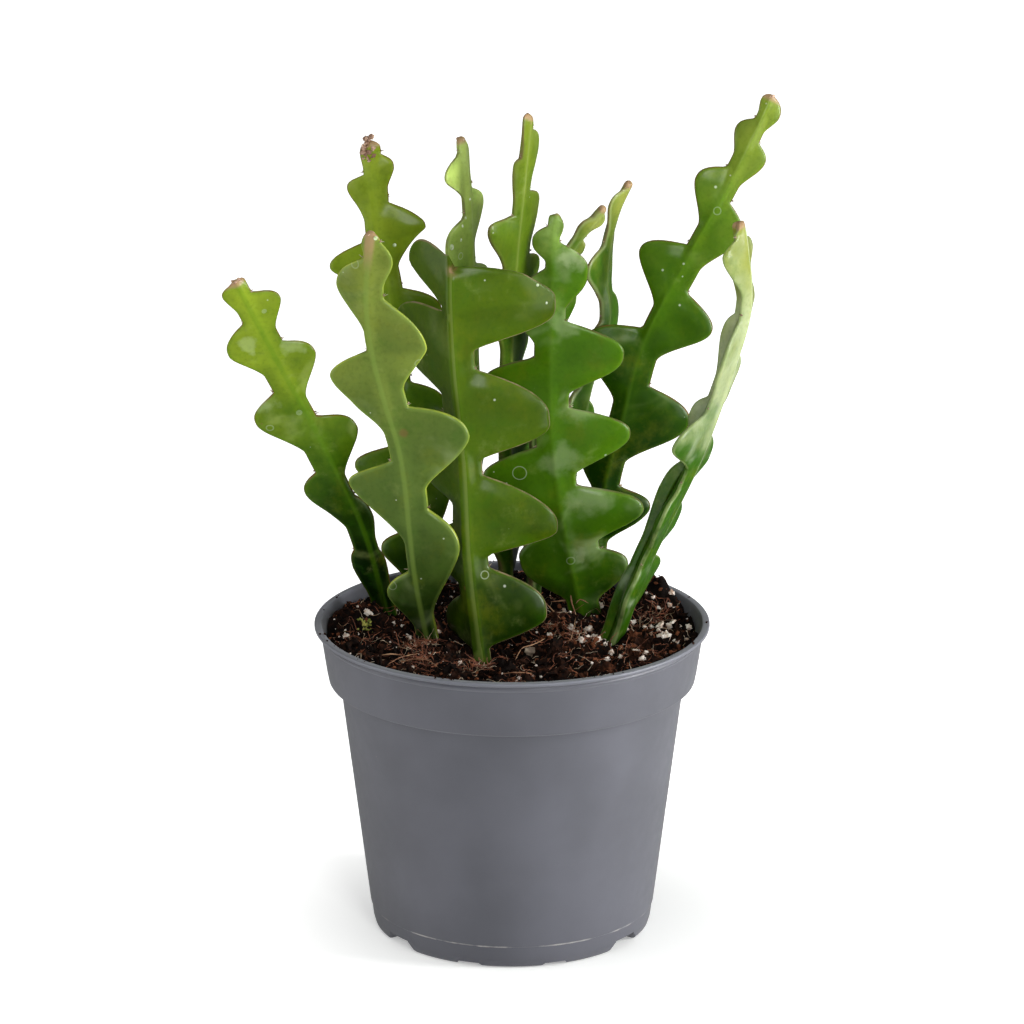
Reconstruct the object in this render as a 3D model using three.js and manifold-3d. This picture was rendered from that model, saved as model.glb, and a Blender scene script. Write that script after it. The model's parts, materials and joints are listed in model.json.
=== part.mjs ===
// Fishbone cactus (a flat-stemmed forest cactus) in a 12 cm plastic nursery pot.
// Millimetres, +Z up.  The origin is on the pot's axis, at the floor that the foot ring stands on.
// The front is -Y.  Every stem is one solid, rooted in its own plain hole in the soil.
import * as THREE from 'three';
import { mergeVertices } from 'three/addons/utils/BufferGeometryUtils.js';
import Module from 'manifold-3d';

const wasm = await Module();
wasm.setup();

// ---------------------------------------------------------------- driving dimensions

const clearance = 0.35;            // gap kept between pieces that touch on the real plant

const potHeight = 96.6;
const rimRadius = 60;              // 12 cm pot, measured over the rim
const rimThickness = 1.2;
const rimWidth = 2.2;              // flat top of the rim
const wall = 1;
const collarTop = { radius: 58.3, z: 95.3 };
const collarFoot = { radius: 55.8, z: 78.7 };
const bodyTop = { radius: 52.4, z: 78.7 };
const bodyFoot = { radius: 43, z: 3 };
const footRadius = 40.8;
const footRing = 2.9;              // width of the ring that the pot stands on
const seamHeight = 7.2;            // shallow seam above the foot, where the mould closes
const seamDepth = 0.25;
const floorUnder = 4.2;            // the pot's floor is raised above what it stands on
const floorThickness = 1.2;
const rimRound = 0.3;              // small bevels that the moulded edges have
const collarRound = 0.6;
const footBevel = { width: 1.2, height: 0.6 };
const potSides = 60;

const notchCount = 10;             // gaps in the foot ring that let water run out
const notchPitch = 360 / notchCount;
const smallNotch = { height: 1.3, footWidth: 8.4, topWidth: 6.4 };
const largeNotch = { height: 3.5, footWidth: 15, topWidth: 9 };
const largeNotchPlaces = [1, 3, 6, 8];
const drainHoleRadius = 3.5;
const drainCircle = 29;
const drainHoles = 8;
const drainHoleSides = 16;

const soilSides = 46;
const soilRings = 10;
const soilLevel = 91.6;
const soilDish = 1.6;              // how much higher the soil stands at the wall than in the middle
const ripples = [                  // small unevenness: height, wave numbers across and along, phase
  { height: 0.5, kx: 0.385, ky: 0.32, phase: 1 },
  { height: 0.35, kx: 0.59, ky: -0.45, phase: 0 },
];

const rowStep = 3.6;               // distance between the rows of points up a stem
const rootDepth = 12;              // length of stem below the soil
const edgeThickness = 1.9;
const bladeThickness = 2.4;
const ribThickness = 5.2;
const ribHalfWidth = 2.8;
const tipShrink = 0.5;             // how much thinner the stem is at its tip
const commonFlank = [0.3, 1, 1.6];
const commonCrown = [3, 0.85];

// ---------------------------------------------------------------- the stems

// spine  points up the middle of the stem, from the soil to the tip.
// face   the way the flat side looks, in degrees from the front, at the soil and at the tip;
//        turning positive swings the right edge to the back.
// fold   how far the left and the right wing are bent back from flat, in degrees, each at the
//        soil and at the tip.
// rise   how far the left and right lobes point up at the stem's top, as a share of their reach.
// flank  the swing from a notch out to the lobe above: where on that way it starts and where it
//        ends, as shares of it, and how quickly it comes out.
// crown  the turn from a lobe in to the notch above: how squarely the lobe's shoulder turns, and
//        where on that way the edge is all in.
// left, right  the edges: notch, lobe, notch, lobe ... as [height up the stem, reach from the spine].
// back   the edge of a third wing, which stands out behind the flat; most stems have none.
const stems = [
  {
    name: 'stem_far_left',
    spine: [[-38.5, 21.5, 92], [-45, 10, 122.5], [-56, -1.5, 151.5], [-68.5, -13, 180],
      [-74.5, -18.5, 194], [-81, -25, 209.5]],
    face: [0, 0],
    flank: [0.33, 1, 1.6],
    crown: [2.8, 0.92],
    left: [[0, 4], [19, 7], [27, 5], [52, 12.2], [59.5, 6.3], [83, 15.3], [92.5, 5.8], [110, 12.2],
      [119, 4], [130, 5.3], [134, 1.5]],
    right: [[0, 3], [17, 3.5], [25, 2.5], [36, 4], [47, 1.6], [69, 11.6], [79, 2.3], [100, 11.4],
      [108, 4.2], [122, 9.6], [128, 2.8], [132, 2.5], [134, 1.5]],
  },
  {
    name: 'stem_front_left',
    spine: [[-25, 0, 90], [-29, -9.5, 116], [-32.5, -15, 151], [-38, -18.5, 173],
      [-41.5, -21.5, 189.5], [-42.5, -25, 203.5], [-42, -27.5, 214.5], [-41, -30, 225.5]],
    face: [-14, -6],
    flank: [0.3, 1, 1.6],
    crown: [2.3, 0.95],
    left: [[0, 4], [19, 10], [27.5, 2.3], [57.5, 17.5], [64.5, 3.5], [95, 14.2], [101.5, 1.6],
      [122, 9.3], [132, 1.7], [136, 2.5], [140, 1.5]],
    right: [[0, 3], [35, 14.3], [48.5, 6], [69, 21.5], [81.5, 6.3], [100, 16.3], [119.5, 5],
      [131, 7.3], [138, 3], [139, 2.5], [140, 1.5]],
  },
  {
    name: 'stem_front_middle',
    spine: [[-9, -13, 88], [-12.5, -11.5, 119], [-14, -10.5, 147.5], [-17, -9, 178],
      [-18, -8.5, 198], [-18, -8, 207.5]],
    face: [0, 0],
    fold: [[58, 50], [8, 8]],
    rise: [0.4, 0],
    flank: [0.3, 1, 7],
    crown: [1.8, 0.97],
    left: [[0, 4], [11, 20], [20, 7], [32, 20], [42, 8], [61, 24], [76, 8], [95, 30], [106, 6],
      [116, 22.5], [120, 18]],
    right: [[0, 2.8], [14, 21.5], [29, 5.5], [41, 27.2], [58, 5.2], [73, 27], [91.7, 6.2],
      [109.5, 31.8], [120, 25]],
  },
  {
    name: 'stem_middle_right',
    spine: [[21.5, 24.5, 91], [16.5, 21.5, 116.5], [12.5, 18, 144.5], [11.5, 15, 166],
      [12, 11.5, 194], [12, 9, 213], [13.5, 8, 221.5]],
    face: [0, 0],
    flank: [0.23, 1, 3.2],
    crown: [2, 0.98],
    left: [[0, 4], [21, 15.5], [29, 4], [49.5, 22], [57, 5], [79, 19.5], [86, 5], [104, 12],
      [115, 2], [124, 5.5], [130, 3], [132, 1.5]],
    right: [[0, 6], [14, 17.2], [20.5, 9.5], [31, 25], [42.7, 6], [58.5, 24], [69.5, 5.8],
      [88, 22.2], [98, 4.2], [114, 11], [123.5, 3.2], [128, 3.5], [132, 1.5]],
  },
  {
    name: 'stem_tall_right',
    spine: [[25, 43.5, 93], [27.5, 41, 115.5], [29, 40.5, 130], [34, 39.5, 149.5], [40, 39.5, 173],
      [52.5, 41, 198], [65, 43.5, 220.5], [72.5, 45.5, 235], [79, 48, 249]],
    face: [0, 0],
    flank: [0.33, 1, 1.8],
    crown: [2.5, 0.92],
    left: [[0, 3], [16, 7], [29, 3.5], [40, 8], [54, 4], [78, 17], [87, 2], [107.5, 14], [116, 2],
      [135, 10], [142.5, 3], [154, 5.8], [159.5, 1.7], [165, 2.5], [168, 1.5]],
    right: [[10, 3], [28, 15], [35.5, 4.8], [59, 20.8], [69.7, 6], [94, 18], [102.8, 5.5],
      [124, 11.5], [133.3, 3.5], [147.5, 7.3], [153, 2.7], [162, 5.2], [168, 1.5]],
  },
  {
    name: 'stem_right',
    spine: [[31.5, 1, 91], [37.5, -1, 109], [43.5, -2.5, 124], [55.5, -5, 150.5], [65.5, -8, 180.5],
      [69.5, -10, 198], [68.5, -11.5, 215], [67, -12, 224]],
    face: [82, 60],
    fold: [[0, 0], [-25, 20]],
    left: [[0, 4], [14, 9], [27, 5], [46, 16], [60, 6], [74, 22], [84, 9], [98, 13], [112, 4],
      [132, 11], [137, 4], [139, 3], [142, 1.5]],
    right: [[0, 3.5], [23, 12], [29, 4], [38, 10], [50, 4], [62, 9], [73, 3.5], [88, 10],
      [100, 3.5], [114, 12], [122, 3.5], [130, 9], [136, 3], [142, 1.5]],
    back: [[0, 6], [8, 7], [26, 4], [50, 6.5], [62, 3.5], [75, 7], [84, 3.5], [103, 6], [112, 3.5],
      [124, 5], [134, 3], [142, 2.8]],
  },
  {
    name: 'stem_back_left',
    spine: [[-28.5, 36.5, 93], [-32, 37, 139.5], [-37, 37.5, 188.5], [-41, 37.5, 207.5],
      [-41.5, 38, 219.5], [-43, 38, 237]],
    face: [0, 0],
    left: [[0, 4], [15, 11], [22, 3.5], [42, 17], [50, 3], [80, 8], [88, 3], [109, 16.5],
      [115, 3.5], [130, 8.5], [135, 3], [140, 3.5], [145, 2]],
    right: [[0, 3.5], [33, 12], [46, 3], [58, 13], [70, 3], [88, 15], [99.5, 4], [116, 15],
      [127, 4], [136, 6.5], [141, 3], [143, 3], [145, 2]],
  },
  {
    name: 'stem_back_narrow',
    spine: [[-11, 39.5, 93], [-11.5, 35, 149.5], [-13, 32.5, 198.5], [-13.3, 31.5, 214],
      [-14, 31, 226], [-15.5, 30, 240]],
    face: [60, 60],
    left: [[0, 3], [17, 11], [25, 3], [47, 13.5], [56, 3], [82, 13], [90, 2.5], [114, 11.5],
      [124, 2.5], [138, 8], [144, 2], [147, 1.5]],
    right: [[0, 3], [18, 10], [30, 3], [60, 14], [70, 3], [98, 14], [108, 3.5], [127, 6.5],
      [134, 3], [141, 4.5], [147, 1.5]],
  },
  {
    name: 'stem_back_middle',
    spine: [[-2, 38.5, 93], [-2, 33, 144], [-1.5, 30, 171.5], [0, 27.5, 199.5], [2.5, 24.5, 224.5],
      [4, 23, 239], [5, 22, 248.5]],
    face: [60, 56],
    left: [[0, 3], [28, 14], [39, 3], [64, 13], [74, 3.5], [97, 12], [103, 5], [119.5, 14.8],
      [124.5, 3], [137, 3.5], [143, 2], [152, 3.5], [157, 1.5]],
    right: [[0, 3], [14, 11], [26, 3], [48, 15], [58, 4], [80, 14], [89, 4], [104, 14], [112, 6],
      [120, 14], [131, 4], [142, 5], [150, 2], [157, 1.5]],
  },
  {
    name: 'stem_back_thin',
    spine: [[6.5, 36.5, 93], [9.5, 35, 140], [12.5, 33, 175.5], [15, 31.5, 198], [18, 31, 205.5],
      [23, 30.5, 212], [28, 30, 218.5]],
    face: [70, 60],
    left: [[0, 3], [16, 9], [28, 3], [54, 10], [64, 3], [86, 10], [98, 3], [108, 5], [114, 2.5],
      [121, 4], [126, 2], [129, 1.5]],
    right: [[0, 3], [24, 10], [36, 3], [62, 11], [74, 3], [93, 11], [104, 3.5], [110, 5],
      [116, 2.5], [124, 4.5], [129, 1.5]],
  },
  {
    name: 'stem_back_right',
    spine: [[15, 44, 93], [19.5, 47, 133.5], [24.5, 48, 153.5], [30, 48.5, 177], [28, 48.5, 190.5],
      [29, 48, 202], [32, 47, 213.5], [36, 46, 222.5]],
    face: [68, 68],
    left: [[0, 3], [23, 9], [36, 3], [52, 8], [63, 3.5], [80, 6.5], [88, 3.5], [104, 12], [112, 3],
      [125, 7.5], [131, 2], [133, 1.5]],
    right: [[0, 3], [22, 9], [35, 3], [50, 10], [62, 3], [84, 14], [96, 3], [108, 8], [117, 3],
      [127, 5], [131, 2], [133, 1.5]],
  },
];

// ---------------------------------------------------------------- materials

const plastic = new THREE.MeshStandardMaterial({ color: 0x6b6e75, roughness: 0.5, metalness: 0 });
const peat = new THREE.MeshStandardMaterial({ color: 0x3a2418, roughness: 1, metalness: 0 });

function stemSkin(name) {
  const tones = {
    stem_far_left: 0x6b8f2a,
    stem_front_left: 0x6f8247,
    stem_front_middle: 0x4a6b24,
    stem_right: 0x8fa85a,
  };
  return new THREE.MeshStandardMaterial({ color: tones[name] ?? 0x4a7a1e, roughness: 0.4, metalness: 0 });
}

// ---------------------------------------------------------------- solids

// Turns a closed geometry into a solid that can be cut and joined.
function solidOf(geometry) {
  const bare = geometry.clone();
  bare.deleteAttribute('normal');
  bare.deleteAttribute('uv');
  const merged = mergeVertices(bare, 1e-4);
  const triangles = [];
  for (let i = 0; i < merged.index.count; i += 3) {
    const [a, b, c] = [0, 1, 2].map((k) => merged.index.getX(i + k));
    if (a !== b && b !== c && c !== a) triangles.push(a, b, c);
  }
  return new wasm.Manifold(new wasm.Mesh({
    numProp: 3,
    vertProperties: new Float32Array(merged.attributes.position.array),
    triVerts: new Uint32Array(triangles),
  }));
}

function meshOf(solid, material, name) {
  const result = solid.getMesh();
  const geometry = new THREE.BufferGeometry();
  geometry.setAttribute('position', new THREE.BufferAttribute(result.vertProperties, 3));
  geometry.setIndex(new THREE.BufferAttribute(result.triVerts, 1));
  geometry.computeVertexNormals();
  const mesh = new THREE.Mesh(geometry, material);
  mesh.name = name;
  return mesh;
}

// A solid turned about Z from its [radius, z] outline, which starts and ends on the axis.
function turned(outline, sides) {
  const geometry = new THREE.LatheGeometry(outline.map(([r, z]) => new THREE.Vector2(r, z)), sides);
  geometry.rotateX(Math.PI / 2);
  return solidOf(geometry);
}

function pointedGeometry(points, triangles) {
  const geometry = new THREE.BufferGeometry();
  geometry.setAttribute('position', new THREE.Float32BufferAttribute(points.flat(), 3));
  geometry.setIndex(triangles);
  return geometry;
}

// ---------------------------------------------------------------- pot

const bodySlope = (bodyTop.radius - bodyFoot.radius) / (bodyTop.z - bodyFoot.z);
const collarSlope = (collarTop.radius - collarFoot.radius) / (collarTop.z - collarFoot.z);

function bodyRadius(z) {
  return bodyFoot.radius + bodySlope * (z - bodyFoot.z);
}

function collarRadius(z) {
  return collarFoot.radius + collarSlope * (z - collarFoot.z);
}

const floorTop = floorUnder + floorThickness;
const innerStep = collarFoot.z + wall;
const rimUnder = potHeight - rimThickness;

function potSolid() {
  const footInner = footRadius - footRing;
  const outline = [
    [0, floorUnder], [footInner, floorUnder], [footInner, 0],
    [footRadius, 0], [footRadius + footBevel.width, footBevel.height],
    [bodyFoot.radius - seamDepth, bodyFoot.z],
    [bodyRadius(seamHeight) - seamDepth, seamHeight], [bodyRadius(seamHeight + 0.4), seamHeight + 0.4],
    [bodyTop.radius, bodyTop.z],
    [collarFoot.radius - collarRound, collarFoot.z], [collarFoot.radius, collarFoot.z + collarRound],
    [collarTop.radius, rimUnder],
    [rimRadius - rimRound, rimUnder], [rimRadius, rimUnder + rimRound],
    [rimRadius, potHeight - rimRound], [rimRadius - rimRound, potHeight],
    [rimRadius - rimWidth + rimRound, potHeight], [rimRadius - rimWidth, potHeight - rimRound],
    [collarTop.radius - wall, collarTop.z - 1.5],
    [collarRadius(innerStep) - wall, innerStep], [bodyRadius(innerStep) - wall, innerStep],
    [bodyRadius(floorTop + 1) - wall, floorTop + 1], [bodyRadius(floorTop) - wall - 1, floorTop],
    [0, floorTop],
  ];
  let pot = turned(outline, potSides);
  for (let i = 0; i < notchCount; i += 1) {
    const size = largeNotchPlaces.includes(i) ? largeNotch : smallNotch;
    pot = pot.subtract(footNotch(size, (i + 0.5) * notchPitch));
  }
  for (let i = 0; i < drainHoles; i += 1) {
    pot = pot.subtract(drainHole(drainCircle, (i * 360) / drainHoles));
  }
  return pot.subtract(drainHole(0, 0));
}

// A wedge-sided gap across the foot ring, at an angle from the front.
function footNotch({ height, footWidth, topWidth }, angle) {
  const below = -1;
  const shape = new THREE.Shape();
  shape.moveTo(-footWidth / 2, below);
  shape.lineTo(footWidth / 2, below);
  shape.lineTo(footWidth / 2, 0);
  shape.lineTo(topWidth / 2, height);
  shape.lineTo(-topWidth / 2, height);
  shape.lineTo(-footWidth / 2, 0);
  const innerEnd = footRadius - footRing - 5;
  const outerEnd = footRadius + 8;
  const depth = outerEnd - innerEnd;
  const geometry = new THREE.ExtrudeGeometry(shape, { depth, bevelEnabled: false });
  geometry.rotateX(Math.PI / 2);
  geometry.translate(0, -innerEnd, 0);
  geometry.rotateZ(THREE.MathUtils.degToRad(angle));
  return solidOf(geometry);
}

function drainHole(distance, angle) {
  const depth = floorThickness * 5;
  const geometry = new THREE.CylinderGeometry(drainHoleRadius, drainHoleRadius, depth, drainHoleSides);
  geometry.rotateX(Math.PI / 2);
  geometry.translate(0, -distance, floorUnder);
  geometry.rotateZ(THREE.MathUtils.degToRad(angle));
  return solidOf(geometry);
}

// ---------------------------------------------------------------- soil

// Heaps (and one hollow) on the soil: place, height and spread.
const heaps = [
  { x: 45, y: 27, height: 9.5, spread: 7 },
  { x: 15, y: -4, height: 2.6, spread: 8 },
  { x: -6, y: -15, height: -3.4, spread: 11 },
  { x: -22, y: -26, height: 1.6, spread: 9 },
  { x: 4, y: 40, height: 1.5, spread: 20 },
];

function soilHeight(x, y) {
  let z = soilLevel + soilDish * (x * x + y * y) / (collarTop.radius * collarTop.radius);
  for (const heap of heaps) {
    const away = Math.hypot(x - heap.x, y - heap.y) / heap.spread;
    z += heap.height * Math.exp(-away * away);
  }
  for (const { height, kx, ky, phase } of ripples) {
    z += height * Math.sin(kx * x + ky * y + phase);
  }
  return z;
}

function soilPlug() {
  const topRadius = collarRadius(soilLevel) - wall - clearance;
  const sidePlaces = [
    [topRadius, 0],
    [collarRadius(innerStep) - wall - clearance, innerStep + clearance],
    [bodyRadius(innerStep) - wall - clearance, innerStep + clearance],
    [bodyRadius(floorTop + 1) - wall - clearance - 0.5, floorTop + 1 + clearance],
    [bodyRadius(floorTop) - wall - clearance - 1.5, floorTop + clearance],
  ];
  const points = [[0, 0, soilHeight(0, 0)]];
  for (let ring = 1; ring <= soilRings; ring += 1) {
    const radius = (topRadius * ring) / soilRings;
    const highest = ring === soilRings ? rimUnder : Infinity;
    pushRing(points, radius, (x, y) => Math.min(soilHeight(x, y), highest));
  }
  for (const [radius, z] of sidePlaces.slice(1)) {
    pushRing(points, radius, () => z);
  }
  points.push([0, 0, floorTop + clearance]);
  const rings = soilRings + sidePlaces.length - 1;
  const triangles = [];
  for (let i = 0; i < soilSides; i += 1) {
    const next = (i + 1) % soilSides;
    triangles.push(0, 1 + i, 1 + next);
    for (let ring = 0; ring < rings - 1; ring += 1) {
      const here = 1 + ring * soilSides;
      const out = here + soilSides;
      triangles.push(here + i, out + i, out + next, here + i, out + next, here + next);
    }
    const last = 1 + (rings - 1) * soilSides;
    triangles.push(last + i, points.length - 1, last + next);
  }
  return solidOf(pointedGeometry(points, triangles));
}

function pushRing(points, radius, heightAt) {
  for (let i = 0; i < soilSides; i += 1) {
    const angle = (i * 2 * Math.PI) / soilSides;
    const x = radius * Math.cos(angle);
    const y = radius * Math.sin(angle);
    points.push([x, y, heightAt(x, y)]);
  }
}

// ---------------------------------------------------------------- stem

// Half-width of a stem on one side at a height: up from a notch the edge swings out to the
// lobe, and above the lobe it turns in to the next notch.
function reachAt(edge, height, flank, crown) {
  const last = edge.length - 1;
  if (height <= edge[0][0]) return edge[0][1];
  if (height >= edge[last][0]) return edge[last][1];
  const i = edge.findIndex(([h]) => h > height) - 1;
  const [fromHeight, fromReach] = edge[i];
  const [toHeight, toReach] = edge[i + 1];
  const way = (height - fromHeight) / (toHeight - fromHeight);
  if (i % 2 === 0) {
    const [start, end, quickness] = flank;
    const swung = THREE.MathUtils.clamp((way - start) / (end - start), 0, 1) ** 1.5;
    return toReach + (fromReach - toReach) * (1 - swung) ** quickness;
  }
  const [power, end] = crown;
  return fromReach + (toReach - fromReach) * Math.min(1, way / end) ** power;
}

// Places up the spine at even steps of its length, with the root's straight run below the soil.
function stemRows(stem) {
  const places = stem.spine.map((p) => new THREE.Vector3(...p));
  const path = new THREE.CatmullRomCurve3(places, false, 'catmullrom', 0.5);
  path.arcLengthDivisions = 400;
  const length = path.getLength();
  const count = Math.ceil((length + rootDepth) / rowStep);
  const rows = [];
  for (let i = 0; i <= count; i += 1) {
    const height = ((length + rootDepth) * i) / count - rootDepth;
    const share = THREE.MathUtils.clamp(height / length, 0, 1);
    const centre = path.getPointAt(share);
    const along = path.getTangentAt(share);
    if (height < 0) centre.addScaledVector(along, height);
    const turn = THREE.MathUtils.degToRad(THREE.MathUtils.lerp(stem.face[0], stem.face[1], share));
    const front = new THREE.Vector3(Math.sin(turn), -Math.cos(turn), 0);
    const across = new THREE.Vector3().crossVectors(along, front).normalize();
    const out = new THREE.Vector3().crossVectors(across, along).normalize();
    rows.push({ height, share, centre, along, across, out });
  }
  return rows;
}

// The ring of points round a stem at one row.  grow makes it larger all round, for its hole in the soil.
function stemRing(stem, row, grow) {
  const thin = 1 - tipShrink * row.share;
  const halfRib = (ribThickness * thin) / 2 + grow;
  const { flank = commonFlank, crown = commonCrown } = stem;
  const reachOf = (edge) => reachAt(edge, row.height, flank, crown) + grow;
  const edgeHalf = (reach) => Math.min(edgeThickness, 0.8 + 0.25 * reach) / 2 + grow;
  const bladeHalf = (bladeThickness * thin) / 2 + grow;
  const at = (acrossBy, outBy, alongBy = 0) => row.centre.clone()
    .addScaledVector(row.across, acrossBy)
    .addScaledVector(row.out, outBy)
    .addScaledVector(row.along, alongBy)
    .toArray();

  // A side wing's edge and foot, on its front (face 1) or its back (face -1).
  const wing = (edge, sign, fold, rise, face) => {
    const reach = reachOf(edge);
    const bend = THREE.MathUtils.degToRad(THREE.MathUtils.lerp(fold[0], fold[1], row.share));
    const lift = rise * row.share * row.share;
    const places = [[reach, edgeHalf(reach)], [Math.min(ribHalfWidth, reach * 0.6), bladeHalf]];
    return places.map(([distance, half]) => at(
      sign * (distance * Math.cos(bend) + face * half * Math.sin(bend)),
      face * half * Math.cos(bend) - distance * Math.sin(bend),
      distance * lift,
    ));
  };
  const [foldLeft, foldRight] = stem.fold ?? [[0, 0], [0, 0]];
  const [riseLeft, riseRight] = stem.rise ?? [0, 0];
  const right = (face) => wing(stem.right, 1, foldRight, riseRight, face);
  const left = (face) => wing(stem.left, -1, foldLeft, riseLeft, face);

  let behind = [at(0, -halfRib)];
  if (stem.back) {
    const reach = Math.max(reachOf(stem.back), halfRib + 0.4);
    behind = [
      at(-bladeHalf, -halfRib * 0.8),
      at(-edgeHalf(reach), -reach),
      at(edgeHalf(reach), -reach),
      at(bladeHalf, -halfRib * 0.8),
    ];
  }
  return [
    ...right(1), at(0, halfRib), ...left(1).reverse(),
    ...left(-1), ...behind, ...right(-1).reverse(),
  ];
}

// A stem, or the part of it below a height.  Both faces are split into triangles alike.
function stemSolid(stem, { grow = 0, highest = Infinity } = {}) {
  const rows = stemRows(stem).filter((row) => row.height <= highest);
  rows[0].centre.addScaledVector(rows[0].along, -grow);
  const rings = rows.map((row) => stemRing(stem, row, grow));
  const size = rings[0].length;
  const frontPoints = 5;
  const points = rings.flat();
  const triangles = [];
  for (let r = 0; r < rings.length - 1; r += 1) {
    for (let i = 0; i < size; i += 1) {
      const a = r * size + i;
      const b = r * size + ((i + 1) % size);
      const c = a + size;
      const d = b + size;
      if (i < frontPoints) triangles.push(a, c, b, b, c, d);
      else triangles.push(a, d, b, a, c, d);
    }
  }
  for (const [r, row] of [[0, rows[0]], [rings.length - 1, rows[rows.length - 1]]]) {
    const start = r * size;
    const middle = points.length;
    points.push(row.centre.toArray());
    for (let i = 0; i < size; i += 1) {
      const a = start + i;
      const b = start + ((i + 1) % size);
      if (r > 0) triangles.push(middle, b, a);
      else triangles.push(middle, a, b);
    }
  }
  return solidOf(pointedGeometry(points, triangles));
}

// ---------------------------------------------------------------- assembly

const plant = new THREE.Group();
plant.add(meshOf(potSolid(), plastic, 'pot'));

const socketTop = 34;              // the holes reach this far up the stems, clear of the soil's heaps
let soil = soilPlug();
for (const stem of stems) {
  soil = soil.subtract(stemSolid(stem, { grow: clearance, highest: socketTop }));
}
plant.add(meshOf(soil, peat, 'soil'));

for (const stem of stems) {
  plant.add(meshOf(stemSolid(stem), stemSkin(stem.name), stem.name));
}

export default plant;
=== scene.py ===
# A fishbone cactus with eleven flat stems, in a 12 cm grey plastic nursery pot filled with peat.
# Lengths are in millimetres unless a comment says otherwise, and they are turned to metres when a
# mesh is made.  The front is -Y and the origin is on the pot's axis, at the floor.
import json
import math
import random
from collections import namedtuple

import bmesh
import bpy
from mathutils import Matrix, Vector, noise


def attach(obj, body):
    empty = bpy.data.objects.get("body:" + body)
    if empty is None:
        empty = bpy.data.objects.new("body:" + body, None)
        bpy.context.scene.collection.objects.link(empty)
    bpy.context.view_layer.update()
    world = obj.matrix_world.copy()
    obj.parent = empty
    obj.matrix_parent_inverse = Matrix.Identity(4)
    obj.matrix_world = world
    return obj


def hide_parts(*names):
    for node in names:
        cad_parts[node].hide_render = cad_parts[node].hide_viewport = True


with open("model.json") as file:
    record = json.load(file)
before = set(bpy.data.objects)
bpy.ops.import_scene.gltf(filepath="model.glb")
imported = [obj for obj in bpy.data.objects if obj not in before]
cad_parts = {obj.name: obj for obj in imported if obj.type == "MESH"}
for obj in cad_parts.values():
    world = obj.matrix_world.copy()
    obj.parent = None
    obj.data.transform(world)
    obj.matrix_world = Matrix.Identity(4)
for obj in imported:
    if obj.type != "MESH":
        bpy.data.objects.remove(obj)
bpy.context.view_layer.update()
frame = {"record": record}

SLOTS = {part["node"]: part["material_slot"] for part in frame["record"]["subparts"]}

MM = 0.001
scene = bpy.context.scene

# ------------------------------------------------------------------ camera

CAMERA_PLACE = (0.0, -1.450, 0.5745)     # in metres
CAMERA_PITCH = 17.01          # degrees that the camera looks down
CAMERA_LENS = 176.7

camera_data = bpy.data.cameras.new("camera")
camera_data.lens = CAMERA_LENS
camera_data.sensor_width = 36
camera_data.clip_start = 0.05
camera_data.clip_end = 20
camera = bpy.data.objects.new("camera", camera_data)
camera.location = CAMERA_PLACE
camera.rotation_euler = (math.radians(90 - CAMERA_PITCH), 0, 0)
scene.collection.objects.link(camera)
scene.camera = camera

# ------------------------------------------------------------------ the pot's and the soil's sizes

POT_HEIGHT = 96.6
RIM_RADIUS = 60
RIM_THICKNESS = 1.2
RIM_WIDTH = 2.2
WALL = 1
CLEARANCE = 0.35                  # gap between the soil and the pot
COLLAR_TOP = (58.3, 95.3)         # radius and height
COLLAR_FOOT = (55.8, 78.7)
BODY_TOP = (52.4, 78.7)
BODY_FOOT = (43, 3)
FOOT_RADIUS = 40.8
FOOT_RING = 2.9                   # width of the ring that it stands on
SEAM_HEIGHT = 7.2
SEAM_DEPTH = 0.25
FLOOR_UNDER = 4.2                 # heights of the raised floor's two sides
FLOOR_TOP = 5.4
INNER_STEP = COLLAR_FOOT[1] + WALL    # height of the ledge inside the collar
POT_SIDES = 240
NOTCH_COUNT = 10
SMALL_NOTCH = (1.3, 8.4, 6.4)     # height, width at the foot, width at the top
LARGE_NOTCH = (3.5, 15, 9)
LARGE_NOTCH_PLACES = (1, 3, 6, 8)
DRAIN_HOLE_RADIUS = 3.5
DRAIN_HOLE_SIDES = 28
DRAIN_CIRCLE = 29
DRAIN_HOLES = 8                   # round the circle, with one more in the middle
SHARP_CORNER = 32                 # degrees from which an edge of the pot looks sharp

SOIL_LEVEL = 91.6
SOIL_DISH = 1.6                   # how much higher the soil is at the wall
SOIL_EDGE = 56.0                  # how far out loose things lie on it
SOIL_RINGS = 110
SOIL_SIDES = 260
# Heaps and one hollow: x, y, height, spread.
HEAPS = [(45, 27, 9.5, 7), (15, -4, 2.6, 8), (-6, -15, -3.4, 11), (-22, -26, 1.6, 9),
         (4, 40, 1.5, 20), (-47, 15, 3.4, 9), (-27, -9, 1.8, 4)]
# Small unevenness: height, wave numbers across and along, phase.
RIPPLES = [(0.5, 0.385, 0.32, 1), (0.35, 0.59, -0.45, 0)]
# Lumps and the clods on them: how wide and how high they are.
SOIL_LUMPS = (6.5, 2.2)
SOIL_CLODS = (3.2, 1.9)
CLODS_SUNK = 1.2                  # how far the clods' own level lies below the soil's
# How dry the soil looks, from 0 for the wettest to about 1.
SOIL_DRYNESS = 0.30
PAINTED_SHADE_BY_HEIGHT = 0.16                # painted shade and light: how much lighter it is per millimetre that it stands out
DRY_PATCHES = (9, 0.25)           # how wide its patches are, and how much they change it
PLAIN_DRYNESS = 0.4               # at its very middle, and at the wall and the floor

# ------------------------------------------------------------------ the stems' sizes

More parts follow.
